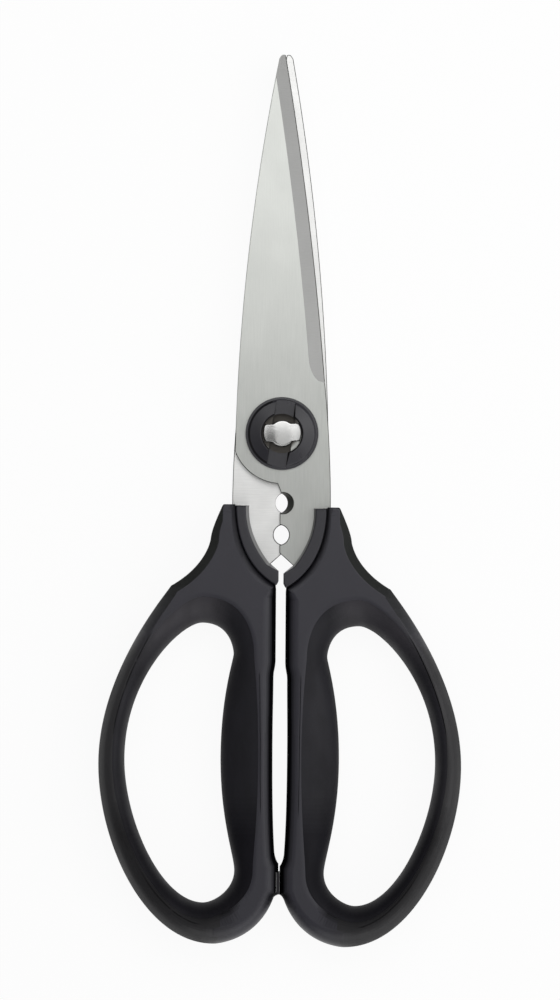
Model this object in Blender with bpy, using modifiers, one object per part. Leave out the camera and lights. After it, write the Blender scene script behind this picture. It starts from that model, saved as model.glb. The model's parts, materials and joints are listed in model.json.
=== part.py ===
"""Herb scissors with a take-apart pivot, lying closed on their back.

Metres, +Z up, +Y towards the tips. The origin is under the middle of the object, on the surface it rests on.
Each half is modelled in its own frame: the pivot axis is the origin, the plane between the two blades is
z = 0, x runs out towards that half's finger loop and y towards the tips. The front half stands as modelled,
and the rear half is the same half turned over about its long axis.
"""

import math

import bmesh
import bpy
from mathutils import Vector
from mathutils.geometry import interpolate_bezier

# Overall sizes
BLADE_REACH = 0.0943            # pivot to the tips
HANDLE_REACH = 0.12705          # pivot to the end of the rear half's loop
HALF_SPREAD = 0.04515           # centre line to the outside of a loop
HANDLE_THICKNESS = 0.0126
FRONT_HANDLE_DROP = 0.00065     # the front handle sits this much further down its tang

# Clearances
FIT_GAP = 0.0003                # between moulded pieces, and round the tang inside them
BLADE_GAP = 0.0003              # between the two blades' inner faces
SEAT_GAP = 0.0002               # under the ring and under the stud's two heads
BORE_GAP = 0.00015              # round the shank of the stud, and round the ring's pegs
STOP_GAP = 0.0002               # between the stop pad and the other nib when closed

# Blades, both alike
BLADE_THICKNESS = 0.0022
SPINE_FOOT_X = 0.01165
SPINE_BOW = 0.0022
EDGE_HEEL_X = 0.0106            # lower end of the cutting edge
EDGE_HEEL_Y = 0.0126
EDGE_BOW = 0.0009
TIP_NOSE = 0.0013               # how far the rounded tip reaches towards the spine
TIP_LAND = 0.00036              # how far the tip reaches past the centre line
BEVEL_WIDTH = 0.0036
BEVEL_LAND = 0.00035            # steel left at the ground edge
BEVEL_RUNOUT = 0.0064           # length over which the grinding wheel leaves the edge
SHOULDER_RADIUS = 0.0125        # round shoulder about the pivot, below the spine

# Herb stripper, the row of notches between the tangs
TANG_LAP = 0.00042              # how far each tang passes the centre line
NOTCH_RADIUS = 0.00259
NOTCH_Y = 0.0173                # pivot to the middle of the upper notch
NOTCH_INNER_SHIFT = 0.0012      # its wall leans: centre this far back at the inner face
NOTCH_OUTER_SHIFT = 0.00032     # and this far forward at the outer face
LOWER_NOTCH_RADIUS = 0.00249
LOWER_NOTCH_Y = 0.0252
LOWER_NOTCH_SHIFT = 0.00058
NOTCH_NECK_X = 0.0010           # foot of the shoulder, above the upper notch
CROTCH_Y = 0.0297               # where the tangs part for good
CROTCH_SLOPE = math.radians(42)

# Tang inside the handle
TANG_OUTER_X = 0.01225
TANG_SHOULDER_Y = 0.0240
TANG_BAR_INNER_X = 0.0031
TANG_BAR_OUTER_X = 0.0081
TANG_BAR_Y = 0.0400             # where the wide tang has narrowed to its bar
TANG_END_Y = 0.0730
ANCHOR_RADIUS = 0.0013
ANCHOR_YS = (0.0480, 0.0640)

# Pivot stud
SHANK_RADIUS = 0.0030
HEAD_RADIUS = 0.00465           # ends of the T-head's two wings
WING_HALF_WIDTH = 0.0022
HEAD_FILLET = 0.0010            # between a wing and the round hub
HEAD_THICKNESS = 0.0015
HEAD_EDGE = 0.00025
RIVET_RADIUS = 0.0046
RIVET_HEIGHT = 0.0011
STUD_ANGLE = math.radians(2.6)
SLOT_ANGLE = math.radians(81.8)
KEY_CLEARANCE = 0.0004          # round the T-head when it passes the keyway

# Ring on the front blade
RING_RADIUS = 0.00905
RING_BORE_RADIUS = 0.00515
RING_HEIGHT = 0.0023
RING_FLANGE_HEIGHT = 0.0008
RING_CHAMFER = 0.0004
RING_WALL_RADIUS = 0.0085       # foot of the crown's outer wall, on the flange
RING_CREST_RADIUS = 0.0080
RING_CREST_DROP = 0.00055       # how much lower the crown is at its rim than at its bore
RING_SLOT_DEPTH = 0.0006
PEG_RADIUS = 0.0008
PEG_HEAD_RADIUS = 0.0012
PEG_HEAD_LENGTH = 0.0006
PEG_CIRCLE = 0.0071
PEG_SPREAD = math.radians(38)   # from the line square to the slot

# Neck of the handle
NECK_TOP_Y = 0.01765
NECK_CORNER_X = 0.0141
NECK_CORNER_RADIUS = 0.0007
NECK_FLARE_X = 0.01604
NECK_FLARE_Y = 0.0212
NECK_WAIST_X = 0.01755
NECK_WAIST_Y = 0.0263
SHOULDER_X = 0.0273
SHOULDER_Y = 0.0380

# Collar of hard plastic beside the steel
GROOVE_TOP_X = 0.01145
GROOVE_END_X = 0.0015
GROOVE_END_Y = 0.0374
COLLAR_TOP_DROP = 0.0003
COLLAR_STEEL_X = 0.0080
COLLAR_FOOT_X = 0.0030
COLLAR_FOOT_Y = 0.0321
COLLAR_END_X = 0.0005
COLLAR_END_TOP_Y = 0.0342
COLLAR_END_BOTTOM_Y = 0.0369
COLLAR_SINK = 0.0005            # crest of the collar below the handle's face
COLLAR_DRAFT = math.radians(10)
COLLAR_ROUND = 0.0004
SKIRT_REACH = 0.0030            # hidden flange of the insert, past the groove
SKIRT_END_REACH = 0.0014        # the same at the groove's lower end
SKIRT_WALL = 0.0010             # its plastic above and below the tang
SKIRT_ROOT = 0.0012             # how far the flange runs back into the collar

# Loop
WIDEST_Y = 0.0822
LOOP_END_X = 0.0163
NIB_FOOT_X = 0.0013
NIB_FOOT_Y = 0.1154
NIB_BOTTOM_Y = 0.1146
NIB_TOP_Y = 0.1076
NIB_HALF_GAP = 0.00024
GAP_LOW_X = 0.0012              # half of the central gap, from its lower end upwards
GAP_LOW_Y = 0.1042
GAP_WIDE_X = 0.00183
GAP_WIDE_Y = 0.0760
GAP_STEP_X = 0.0017
GAP_STEP_Y = 0.0605
GAP_TOP_X = 0.0012
GAP_TOP_Y = 0.0565
GROOVE_LEAD = 0.0010            # straight end of the gap below the groove

# Finger hole, from the widths of the limbs round it
HOLE_TOP_X = 0.0195
HOLE_TOP_Y = 0.0472
OUTER_LIMB = 0.0065
BOTTOM_LIMB = 0.01025
HOLE_WIDEST_Y = 0.0810
HOLE_END_X = 0.0189
INNER_LIMB = 0.01292            # gap edge to the crown of the palm swell
SWELL_Y = 0.0805
LOWER_RELIEF = 0.0036           # how much the limb is thinner at the lower corner of the hole
LOWER_RELIEF_Y = 0.1087
UPPER_RELIEF = 0.0031
UPPER_RELIEF_Y = 0.0549

# Cushion that lines the hole
LINER_WIDTHS = (0.0066, 0.0030, 0.0038, 0.0046, 0.0094, 0.0051)
CUSHION_WALL = 0.0016           # at the hole's edge
CUSHION_EDGE = 0.0018           # depth of its seat at the visible boundary
CUSHION_SINK = 0.0002           # its rim below the handle's face

# Stop pad in the rear handle's nib
PAD_TOP_Y = 0.1091
PAD_BOTTOM_Y = 0.1141
PAD_SEAT_DEPTH = 0.0011
PAD_HEIGHT = 0.0080
PAD_ROUND = 0.00015

# Edge of the handle: width in plan, depth, and 0 for a round edge or 1 for a flat chamfer
SQUARE_EDGE = (0.0005, 0.0005, 0.0)
FLARE_EDGE = (0.0015, 0.0016, 1.0)
NECK_EDGE = (0.0020, 0.0023, 1.0)
LIMB_EDGE = (0.0031, 0.0044, 0.0)
GAP_EDGE = (0.0014, 0.0018, 0.0)
NIB_EDGE = (0.0008, 0.0008, 0.0)
GROOVE_EDGE = (0.0009, 0.0008, 0.0)

# Sampling
ARC_STEPS = 16
ROUND_STEPS = 40
KNOT_STEPS = 40                 # points between two knots of the finger hole
LINE_STRETCH = 2.0              # makes the lines from the edge to the hole run more along the handle
BEVEL_STEPS = 40
BEVEL_RUN = 1.07                # the wedge that grinds the edge runs on past the tip
EDGE_ANGLES = (0, 30, 60, 90)
NOSE_ANGLES = (0, 30, 60, 90, 120, 150, 180)
MOULDED_SHARP = math.radians(35)  # edges that turn further than this are shaded sharp
BLADE_SHARP = math.radians(20)
FACE_HALF = HANDLE_THICKNESS / 2
INNER_FACE = BLADE_GAP / 2
OUTER_FACE = INNER_FACE + BLADE_THICKNESS
PIVOT_Y = (HANDLE_REACH + FRONT_HANDLE_DROP - BLADE_REACH) / 2
OVERRUN = 0.001                 # how far a cutter passes the faces it cuts

parts = bpy.data.collections.new("herb_scissors")
cutters = bpy.data.collections.new("cutters")


# Points in plan

def direction(degrees):
    return Vector((math.cos(math.radians(degrees)), math.sin(math.radians(degrees))))


def stretch(start, heading, end, end_heading, pulls, steps):
    """Smooth points from start to just before end. Pulls are shares of the chord."""
    start, end = Vector(start), Vector(end)
    chord = (end - start).length
    leave = start + direction(heading) * chord * pulls[0]
    arrive = end - direction(end_heading) * chord * pulls[1]
    knots = [p.to_3d() for p in (start, leave, arrive, end)]
    return [p.to_2d() for p in interpolate_bezier(*knots, steps + 1)][:-1]


def bow(start, end, rise, steps, run=1.0):
    """Shallow arc from start to just before end, or further where run is over 1, bulging to the left."""
    start, end = Vector(start), Vector(end)
    along = end - start
    left = Vector((-along.y, along.x)).normalized()
    shares = [run * i / steps for i in range(steps)]
    return [start + along * u + left * (4 * rise * u * (1 - u)) for u in shares]


def arc(centre, radius, start, end, steps):
    """Points on a circle, both ends included, angles in radians."""
    angles = [start + (end - start) * i / steps for i in range(steps + 1)]
    return [Vector(centre) + Vector((math.cos(a), math.sin(a))) * radius for a in angles]


def inward(points, closed=True):
    """Mitred normals that point to the right of travel."""
    count = len(points)
    normals = []
    for i, point in enumerate(points):
        before = points[i - 1] if closed or i else point
        after = points[(i + 1) % count] if closed or i + 1 < count else point
        sides = [b - a for a, b in ((before, point), (point, after)) if (b - a).length > 0]
        units = [Vector((s.y, -s.x)).normalized() for s in sides]
        total = units[0] + units[-1]
        normals.append(total / max(1 + units[0].dot(units[-1]), 0.5))
    return normals


def nearest_place(outline, point):
    """Where a closed outline passes nearest to a point, as a position along its list of points."""
    best = None
    for i, start in enumerate(outline):
        along = outline[(i + 1) % len(outline)] - start
        share = min(max((point - start).dot(along) / along.length_squared, 0), 1)
        distance = (start + along * share - point).length
        if best is None or distance < best[0]:
            best = (distance, i + share)
    return best[1]


def place_on(outline, position):
    first = int(position) % len(outline)
    return outline[first].lerp(outline[(first + 1) % len(outline)], position % 1)


# Objects

def colour(name, rgb, roughness, metallic):
    material = bpy.data.materials.new(name)
    material.use_nodes = True
    shader = material.node_tree.nodes["Principled BSDF"]
    shader.inputs["Base Color"].default_value = (*rgb, 1)
    shader.inputs["Roughness"].default_value = roughness
    shader.inputs["Metallic"].default_value = metallic
    return material


def add(name, mesh, parent, material=None):
    """A part of the object, or a cutter where it has no material."""
    obj = bpy.data.objects.new(name, mesh)
    (parts if material else cutters).objects.link(obj)
    obj.parent = parent
    if material:
        mesh.materials.append(material)
    else:
        obj.hide_render = True
        obj.display_type = "WIRE"
    return obj


def finish_mesh(name, bm):
    bmesh.ops.remove_doubles(bm, verts=bm.verts, dist=1e-7)
    bmesh.ops.recalc_face_normals(bm, faces=bm.faces)
    mesh = bpy.data.meshes.new(name)
    bm.to_mesh(mesh)
    bm.free()
    return mesh


def plate_mesh(name, outlines, low, high, edge=0.0):
    """A flat plate from closed outlines, the later ones its holes, with its edges rounded by edge."""
    curve = bpy.data.curves.new(name, "CURVE")
    curve.dimensions = "2D"
    curve.fill_mode = "BOTH"
    curve.extrude = (high - low) / 2 - edge
    curve.bevel_depth = edge
    curve.bevel_resolution = 1
    curve.offset = -edge
    for outline in outlines:
        spline = curve.splines.new("POLY")
        spline.points.add(len(outline) - 1)
        for knot, point in zip(spline.points, outline):
            knot.co = (point.x, point.y, 0, 1)
        spline.use_cyclic_u = True
    holder = bpy.data.objects.new(name, curve)
    holder.location.z = (high + low) / 2
    bpy.context.scene.collection.objects.link(holder)
    evaluated = holder.evaluated_get(bpy.context.evaluated_depsgraph_get())
    source = bpy.data.meshes.new_from_object(evaluated)
    bm = bmesh.new()
    bm.from_mesh(source)
    bmesh.ops.transform(bm, matrix=holder.matrix_world, verts=bm.verts)
    bpy.data.objects.remove(holder)
    return finish_mesh(name, bm)


def stack_mesh(name, levels):
    """A solid through outlines at rising heights, each as (height, points)."""
    bm = bmesh.new()
    rings = [[bm.verts.new((p.x, p.y, height)) for p in points] for height, points in levels]
    count = len(rings[0])
    for lower, upper in zip(rings, rings[1:]):
        for i in range(count):
            j = (i + 1) % count
            bm.faces.new((lower[i], lower[j], upper[j], upper[i]))
    caps = [bm.faces.new(rings[0]), bm.faces.new(rings[-1])]
    bmesh.ops.triangulate(bm, faces=caps)
    return finish_mesh(name, bm)


def loop_mesh(name, rows):
    """A solid ring. Each row runs once round the loop, and the rows go round its section."""
    bm = bmesh.new()
    rings = [[bm.verts.new(p) for p in row] for row in rows]
    count = len(rings[0])
    for lower, upper in zip(rings, rings[1:] + rings[:1]):
        for i in range(count):
            j = (i + 1) % count
            bm.faces.new((lower[i], lower[j], upper[j], upper[i]))
    return finish_mesh(name, bm)


def circle(centre, radius, steps=ROUND_STEPS):
    return arc(centre, radius, 0, 2 * math.pi, steps)[:-1]


def turned(name, profile, parent, material=None):
    """A solid of revolution about the z axis: (radius, height) from the top, down its outer side."""
    mesh = bpy.data.meshes.new(name)
    closed = min(radius for radius, height in profile) > 0
    count = len(profile)
    edges = [(i, (i + 1) % count) for i in range(count if closed else count - 1)]
    mesh.from_pydata([(radius, 0, height) for radius, height in profile], edges, [])
    obj = add(name, mesh, parent, material)
    screw = obj.modifiers.new("turn", "SCREW")
    screw.steps = screw.render_steps = ROUND_STEPS
    screw.use_merge_vertices = True
    screw.merge_threshold = 0.000001
    return obj


def cylinder(name, centre, radius, low, high, parent):
    return add(name, plate_mesh(name, [circle(centre, radius)], low, high), parent)


def combine(obj, operation, *others):
    for other in others:
        step = obj.modifiers.new(other.name, "BOOLEAN")
        step.operation = operation
        step.object = other


def settle(blades):
    """Takes the cuts into each part's mesh and marks the edges that are shaded sharp."""
    graph = bpy.context.evaluated_depsgraph_get()
    solids = [obj for obj in parts.objects if obj.type == "MESH"]
    for obj, mesh in [(obj, bpy.data.meshes.new_from_object(obj.evaluated_get(graph))) for obj in solids]:
        obj.modifiers.clear()
        obj.data = mesh
        mesh.name = obj.name
        mesh.shade_smooth()
        mesh.set_sharp_from_angle(angle=BLADE_SHARP if obj in blades else MOULDED_SHARP)
    for cutter in list(cutters.objects):
        bpy.data.objects.remove(cutter)


# Blades

def tang_outline(grow):
    """The part of the tang that the handle holds, with an even margin round it."""
    inner = TANG_BAR_INNER_X - grow
    outer = TANG_BAR_OUTER_X + grow
    wide = TANG_OUTER_X + grow
    end = -TANG_END_Y - grow
    radius = (outer - inner) / 2
    middle = (inner + outer) / 2
    points = [Vector((wide, -NECK_TOP_Y))]
    points += stretch((wide, -TANG_SHOULDER_Y), -90, (outer, -TANG_BAR_Y), -90, (0.35, 0.45), 8)
    points += arc((middle, end + radius), radius, 0, -math.pi, 10)
    return points


def crotch_points(grow):
    """From the bar's inner edge up the slope where the tangs part."""
    inner = TANG_BAR_INNER_X - grow
    foot = -CROTCH_Y - (inner + TANG_LAP) * math.tan(CROTCH_SLOPE)
    lift = grow / math.cos(CROTCH_SLOPE)
    return [Vector((inner, foot - lift)), Vector((-TANG_LAP, -CROTCH_Y - lift))]


def blade_outline():
    tip_back = (-TIP_NOSE, BLADE_REACH - TIP_NOSE * 0.8)
    tip_top = (-TIP_NOSE * 0.1, BLADE_REACH)
    tip_edge = (TIP_LAND, BLADE_REACH - TIP_LAND)
    heel = (EDGE_HEEL_X, EDGE_HEEL_Y)
    spine_foot_y = -math.sqrt(SHOULDER_RADIUS**2 - SPINE_FOOT_X**2)
    neck_y = -math.sqrt(SHOULDER_RADIUS**2 - NOTCH_NECK_X**2)
    points = bow((-SPINE_FOOT_X, spine_foot_y), tip_back, SPINE_BOW, ARC_STEPS)
    points += stretch(tip_back, 58, tip_top, 0, (0.4, 0.4), 3)
    points += stretch(tip_top, 0, tip_edge, -80, (0.4, 0.4), 2)
    points += bow(tip_edge, heel, EDGE_BOW, ARC_STEPS)
    points += stretch(heel, -84, (TANG_OUTER_X, -NECK_TOP_Y), -90, (0.3, 0.3), 6)
    points += tang_outline(0)
    points += crotch_points(0)
    points.append(Vector((-TANG_LAP, -NOTCH_Y)))
    points.append(Vector((0, -NOTCH_Y)))
    points.append(Vector((0, -NOTCH_Y + NOTCH_RADIUS * 0.86)))
    start = math.atan2(neck_y, -NOTCH_NECK_X)
    end = math.atan2(spine_foot_y, -SPINE_FOOT_X)
    points += arc((0, 0), SHOULDER_RADIUS, start, end, ARC_STEPS)[:-1]
    return points


def bevel_cutter(name, parent):
    """A wedge along the cutting edge, whose inner side curves out to the edge at the heel."""
    tip = Vector((TIP_LAND, BLADE_REACH - TIP_LAND))
    heel = Vector((EDGE_HEEL_X, EDGE_HEEL_Y))
    slope = (BLADE_THICKNESS - BEVEL_LAND) / BEVEL_WIDTH
    edge = bow(heel, tip, -EDGE_BOW, BEVEL_STEPS, BEVEL_RUN)
    sides = inward(edge, closed=False)
    outlines = []
    for point, right in zip(edge, sides):
        run = min((point - heel).length / BEVEL_RUNOUT, 1)
        width = BEVEL_WIDTH * math.sqrt(1 - (1 - run) ** 2)
        inner = point - right * width
        outer = point + right * OVERRUN
        floor_inner = OUTER_FACE - (BEVEL_WIDTH - width) * slope
        floor_outer = OUTER_FACE - (BEVEL_WIDTH + OVERRUN) * slope
        top = OUTER_FACE + OVERRUN
        outlines.append((
            (inner.x, inner.y, top), (inner.x, inner.y, floor_inner),
            (outer.x, outer.y, floor_outer), (outer.x, outer.y, top),
        ))
    bm = bmesh.new()
    rings = [[bm.verts.new(p) for p in section] for section in outlines]
    for lower, upper in zip(rings, rings[1:]):
        for i in range(4):
            j = (i + 1) % 4
            bm.faces.new((lower[i], lower[j], upper[j], upper[i]))
    bm.faces.new(rings[0])
    bm.faces.new(rings[-1])
    return add(name, finish_mesh(name, bm), parent)


def leaning_notch(name, parent):
    """The upper notch: a round cutter that leans, so that the wall ends in an edge at the inner face."""
    lean = (NOTCH_OUTER_SHIFT + NOTCH_INNER_SHIFT) / BLADE_THICKNESS
    levels = []
    for height in (INNER_FACE - OVERRUN, OUTER_FACE + OVERRUN):
        x = -NOTCH_INNER_SHIFT + (height - INNER_FACE) * lean
        levels.append((height, circle((x, -NOTCH_Y), NOTCH_RADIUS)))
    return add(name, stack_mesh(name, levels), parent)


def blade(name, parent, steel):
    low, high = INNER_FACE, OUTER_FACE
    middle = (TANG_BAR_INNER_X + TANG_BAR_OUTER_X) / 2
    anchors = [circle((middle, -y), ANCHOR_RADIUS, 16) for y in ANCHOR_YS]
    obj = add(name, plate_mesh(name, [blade_outline(), *anchors], low, high), parent, steel)
    bevel = bevel_cutter(f"{name}_bevel", parent)
    notch = leaning_notch(f"{name}_notch", parent)
    lower = cylinder(
        f"{name}_lower_notch", (-LOWER_NOTCH_SHIFT, -LOWER_NOTCH_Y), LOWER_NOTCH_RADIUS,
        low - OVERRUN, high + OVERRUN, parent,
    )
    combine(obj, "DIFFERENCE", bevel, notch, lower)
    return obj


# Pivot

def keyed_outline(half_width, end_radius, hub_radius, fillet):
    """Two wings with round ends on a round hub, the wings along x."""
    end = math.asin(half_width / end_radius)
    quarter = arc((0, 0), end_radius, 0, end, 4)
    if fillet:
        lift = half_width + fillet
        foot = math.sqrt((hub_radius + fillet) ** 2 - lift**2)
        hub = math.atan2(lift, foot)
        quarter += arc((foot, lift), fillet, -math.pi / 2, hub - math.pi, 4)
    else:
        hub = math.asin(half_width / hub_radius)
    quarter += arc((0, 0), hub_radius, hub, math.pi / 2, 5)[1 if fillet else 0:]
    half = quarter + [Vector((-p.x, p.y)) for p in reversed(quarter[:-1])]
    return half[:-1] + [-p for p in half[:-1]]


def turn_points(points, angle):
    cos, sin = math.cos(angle), math.sin(angle)
    return [Vector((p.x * cos - p.y * sin, p.x * sin + p.y * cos)) for p in points]


def peg_centres():
    square = SLOT_ANGLE + math.pi / 2
    angles = [square + side + turn for side in (0, math.pi) for turn in (-PEG_SPREAD, PEG_SPREAD)]
    return [Vector((math.cos(a), math.sin(a))) * PEG_CIRCLE for a in angles]


def peg_levels(centre, grow, top):
    """A staked peg, or its hole: straight, then a cone that ends just inside the blade's inner face."""
    bottom = INNER_FACE + SEAT_GAP
    throat = bottom + PEG_HEAD_LENGTH
    sizes = [(bottom, PEG_HEAD_RADIUS), (throat, PEG_RADIUS), (top, PEG_RADIUS)]
    if grow:
        sizes.insert(0, (INNER_FACE - OVERRUN, PEG_HEAD_RADIUS))
    return [(height, circle(centre, radius + grow, 12)) for height, radius in sizes]


def pivot_ring(parent, plastic):
    """Moulded ring round the stud's head, with a recessed way across it and four staked pegs."""
    base = OUTER_FACE + SEAT_GAP
    top = base + RING_HEIGHT
    flange = base + RING_FLANGE_HEIGHT
    profile = [
        (RING_BORE_RADIUS, top - RING_CHAMFER), (RING_BORE_RADIUS + RING_CHAMFER, top),
        (RING_CREST_RADIUS, top - RING_CREST_DROP), (RING_WALL_RADIUS, flange),
        (RING_RADIUS, flange), (RING_RADIUS, base), (RING_BORE_RADIUS, base),
    ]
    ring = turned("pivot_ring", profile, parent, plastic)
    half = WING_HALF_WIDTH + KEY_CLEARANCE
    way = [Vector(p) for p in ((-0.02, -half), (-0.02, half), (0.02, half), (0.02, -half))]
    way = plate_mesh("ring_way", [turn_points(way, SLOT_ANGLE)], top - RING_SLOT_DEPTH, top + OVERRUN)
    combine(ring, "DIFFERENCE", add("ring_way", way, parent))
    for index, centre in enumerate(peg_centres()):
        name = f"ring_peg_{index + 1}"
        peg = add(name, stack_mesh(name, peg_levels(centre, 0, base + RING_FLANGE_HEIGHT / 2)), parent)
        combine(ring, "UNION", peg)


def front_blade(parent, steel):
    obj = blade("front_blade", parent, steel)
    keyway = keyed_outline(
        WING_HALF_WIDTH + KEY_CLEARANCE, HEAD_RADIUS + KEY_CLEARANCE, SHANK_RADIUS + BORE_GAP, 0,
    )
    low, high = INNER_FACE - OVERRUN, OUTER_FACE + OVERRUN
    keyway = plate_mesh("keyway", [turn_points(keyway, SLOT_ANGLE)], low, high)
    combine(obj, "DIFFERENCE", add("keyway", keyway, parent))
    for index, centre in enumerate(peg_centres()):
        name = f"peg_hole_{index + 1}"
        hole = add(name, stack_mesh(name, peg_levels(centre, BORE_GAP, high)), parent)
        combine(obj, "DIFFERENCE", hole)
    return obj


def pivot_stud(parent, steel):
    """Shank riveted through the rear blade, with the T-head that passes the front blade's keyway.

    It stands the other way up from the rear half, whose frame is turned over.
    """
    head_low = OUTER_FACE + SEAT_GAP
    rivet_top = -OUTER_FACE - SEAT_GAP
    head_high = head_low + HEAD_THICKNESS
    outline = keyed_outline(WING_HALF_WIDTH, HEAD_RADIUS, SHANK_RADIUS, HEAD_FILLET)
    inset = [p + side * HEAD_EDGE for p, side in zip(outline, inward(outline[::-1])[::-1])]
    levels = [
        (head_low, inset), (head_low + HEAD_EDGE, outline),
        (head_high - HEAD_EDGE, outline), (head_high, inset),
    ]
    obj = add("pivot_stud", stack_mesh("pivot_stud", levels), parent, steel)
    profile = [
        (0, head_low + HEAD_THICKNESS / 2), (SHANK_RADIUS, head_low + HEAD_THICKNESS / 2),
        (SHANK_RADIUS, rivet_top), (RIVET_RADIUS, rivet_top),
        (RIVET_RADIUS, rivet_top - RIVET_HEIGHT * 0.45),
        (RIVET_RADIUS * 0.8, rivet_top - RIVET_HEIGHT * 0.8),
        (RIVET_RADIUS * 0.45, rivet_top - RIVET_HEIGHT), (0, rivet_top - RIVET_HEIGHT),
    ]
    shank = turned("stud_shank", profile, parent)
    combine(obj, "UNION", shank)
    for piece in (obj, shank):
        piece.rotation_euler = (0, math.pi, -STUD_ANGLE)
    return obj


def rear_blade(parent, steel):
    obj = blade("rear_blade", parent, steel)
    low, high = INNER_FACE - OVERRUN, OUTER_FACE + OVERRUN
    combine(obj, "DIFFERENCE", cylinder("stud_hole", (0, 0), SHANK_RADIUS + BORE_GAP, low, high, parent))
    return obj


# Collar insert

def groove_points(grow, steps=12):
    """The line where collar and handle body meet, from its top end, moved out from the steel by grow."""
    top = (GROOVE_TOP_X, -NECK_TOP_Y)
    end = (GROOVE_END_X, -GROOVE_END_Y)
    points = stretch(top, -90, end, -150, (0.3, 0.42), steps) + [Vector(end)]
    return [p - side * grow for p, side in zip(points, inward(points, closed=False))]


def collar_outline(steel_inset, edge_inset):
    """Plan of the collar. Its steel side moves back by one inset and its other sides by the other."""
    steel = stretch(
        (COLLAR_STEEL_X, -NECK_TOP_Y - COLLAR_TOP_DROP), -86, (COLLAR_FOOT_X, -COLLAR_FOOT_Y), -128,
        (0.3, 0.4), 9,
    )
    ends = [
        Vector((COLLAR_FOOT_X, -COLLAR_FOOT_Y)), Vector((COLLAR_END_X, -COLLAR_END_TOP_Y)),
        Vector((COLLAR_END_X, -COLLAR_END_BOTTOM_Y)),
    ]
    groove = list(reversed(groove_points(-FIT_GAP)))
    groove[-1].y -= COLLAR_TOP_DROP
    points = steel + ends + groove
    insets = [steel_inset] * (len(steel) + 1) + [edge_inset] * (len(points) - len(steel) - 1)
    moved = [p - side * inset for p, side, inset in zip(points, inward(points), insets)]
    return [points[0] + Vector((steel_inset, -edge_inset))] + moved[1:]


def skirt_outline(grow):
    """The insert's hidden flange: a band along the groove, from inside the collar to inside the neck."""
    line = groove_points(0)
    sides = inward(line, closed=False)
    count = len(line)
    narrowing = SKIRT_END_REACH - SKIRT_REACH
    reaches = [SKIRT_REACH + narrowing * max(0, 2 * i / count - 1) for i in range(count)]
    outer = [p - side * (reach + grow) for p, side, reach in zip(line, sides, reaches)][2:]
    inner = [p + side * SKIRT_ROOT for p, side in zip(line, sides)][2:]
    outer[0].y += grow
    outer[-1].x = max(outer[-1].x, GAP_TOP_X + SKIRT_END_REACH - grow)
    return outer + list(reversed(inner))


def drop_points(points, drop):
    return [Vector((p.x, p.y - drop)) for p in points]


def tang_cutter(name, parent):
    """The tang with its clearance, left whole where posts pass through its anchor holes."""
    middle = (TANG_BAR_INNER_X + TANG_BAR_OUTER_X) / 2
    posts = [circle((middle, -y), ANCHOR_RADIUS - FIT_GAP, 16) for y in ANCHOR_YS]
    lap = Vector((-TANG_LAP, 0))
    mouth = [lap, Vector((TANG_OUTER_X + FIT_GAP, 0))]
    outline = mouth + tang_outline(FIT_GAP)[1:] + crotch_points(FIT_GAP)
    low, high = INNER_FACE - FIT_GAP, OUTER_FACE + FIT_GAP
    return add(name, plate_mesh(name, [outline, *posts], low, high), parent)


def collar_insert(side, parent, drop, plastic, tang):
    """Hard insert moulded on the tang: the collar that shows and a flange inside the neck."""
    crest = FACE_HALF - COLLAR_SINK
    back_draft = (crest + INNER_FACE) * math.tan(COLLAR_DRAFT)
    front_draft = (crest - OUTER_FACE) * math.tan(COLLAR_DRAFT)
    levels = [
        (-crest, back_draft + COLLAR_ROUND, COLLAR_ROUND),
        (-crest + COLLAR_ROUND, back_draft, 0),
        (INNER_FACE, 0, 0),
        (OUTER_FACE, 0, 0),
        (crest - COLLAR_ROUND, front_draft, 0),
        (crest, front_draft + COLLAR_ROUND, COLLAR_ROUND),
    ]
    name = f"{side}_collar_insert"
    levels = [(z, drop_points(collar_outline(steel, edge), drop)) for z, steel, edge in levels]
    obj = add(name, stack_mesh(name, levels), parent, plastic)
    reach = FIT_GAP + SKIRT_WALL
    outline = drop_points(skirt_outline(0), drop)
    flange = plate_mesh(f"{side}_flange", [outline], INNER_FACE - reach, OUTER_FACE + reach)
    combine(obj, "UNION", add(f"{side}_flange", flange, parent))
    combine(obj, "DIFFERENCE", tang)
    return obj


# Handle body and cushion

def hole_outline(widths):
    """The finger hole with each of its six knots pushed out by a width, clockwise from the top."""
    top, outer, bottom, lower, swell, upper = widths
    swell_x = GAP_WIDE_X + INNER_LIMB
    knots = [
        ((HOLE_TOP_X, -HOLE_TOP_Y + top), 0),
        ((HALF_SPREAD - OUTER_LIMB + outer, -HOLE_WIDEST_Y), -90),
        ((HOLE_END_X, -HANDLE_REACH + BOTTOM_LIMB - bottom), 180),
        ((swell_x - LOWER_RELIEF - lower, -LOWER_RELIEF_Y), 90),
        ((swell_x - swell, -SWELL_Y), 90),
        ((swell_x - UPPER_RELIEF - upper, -UPPER_RELIEF_Y), 90),
    ]
    pulls = ((0.13, 0.52), (0.38, 0.25), (0.22, 0.46), (0.12, 0.55), (0.59, 0.05), (0.01, 0.69))
    points = []
    for knot, after, pull in zip(knots, knots[1:] + knots[:1], pulls):
        points += stretch(*knot, *after, pull, KNOT_STEPS)
    return points


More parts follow.
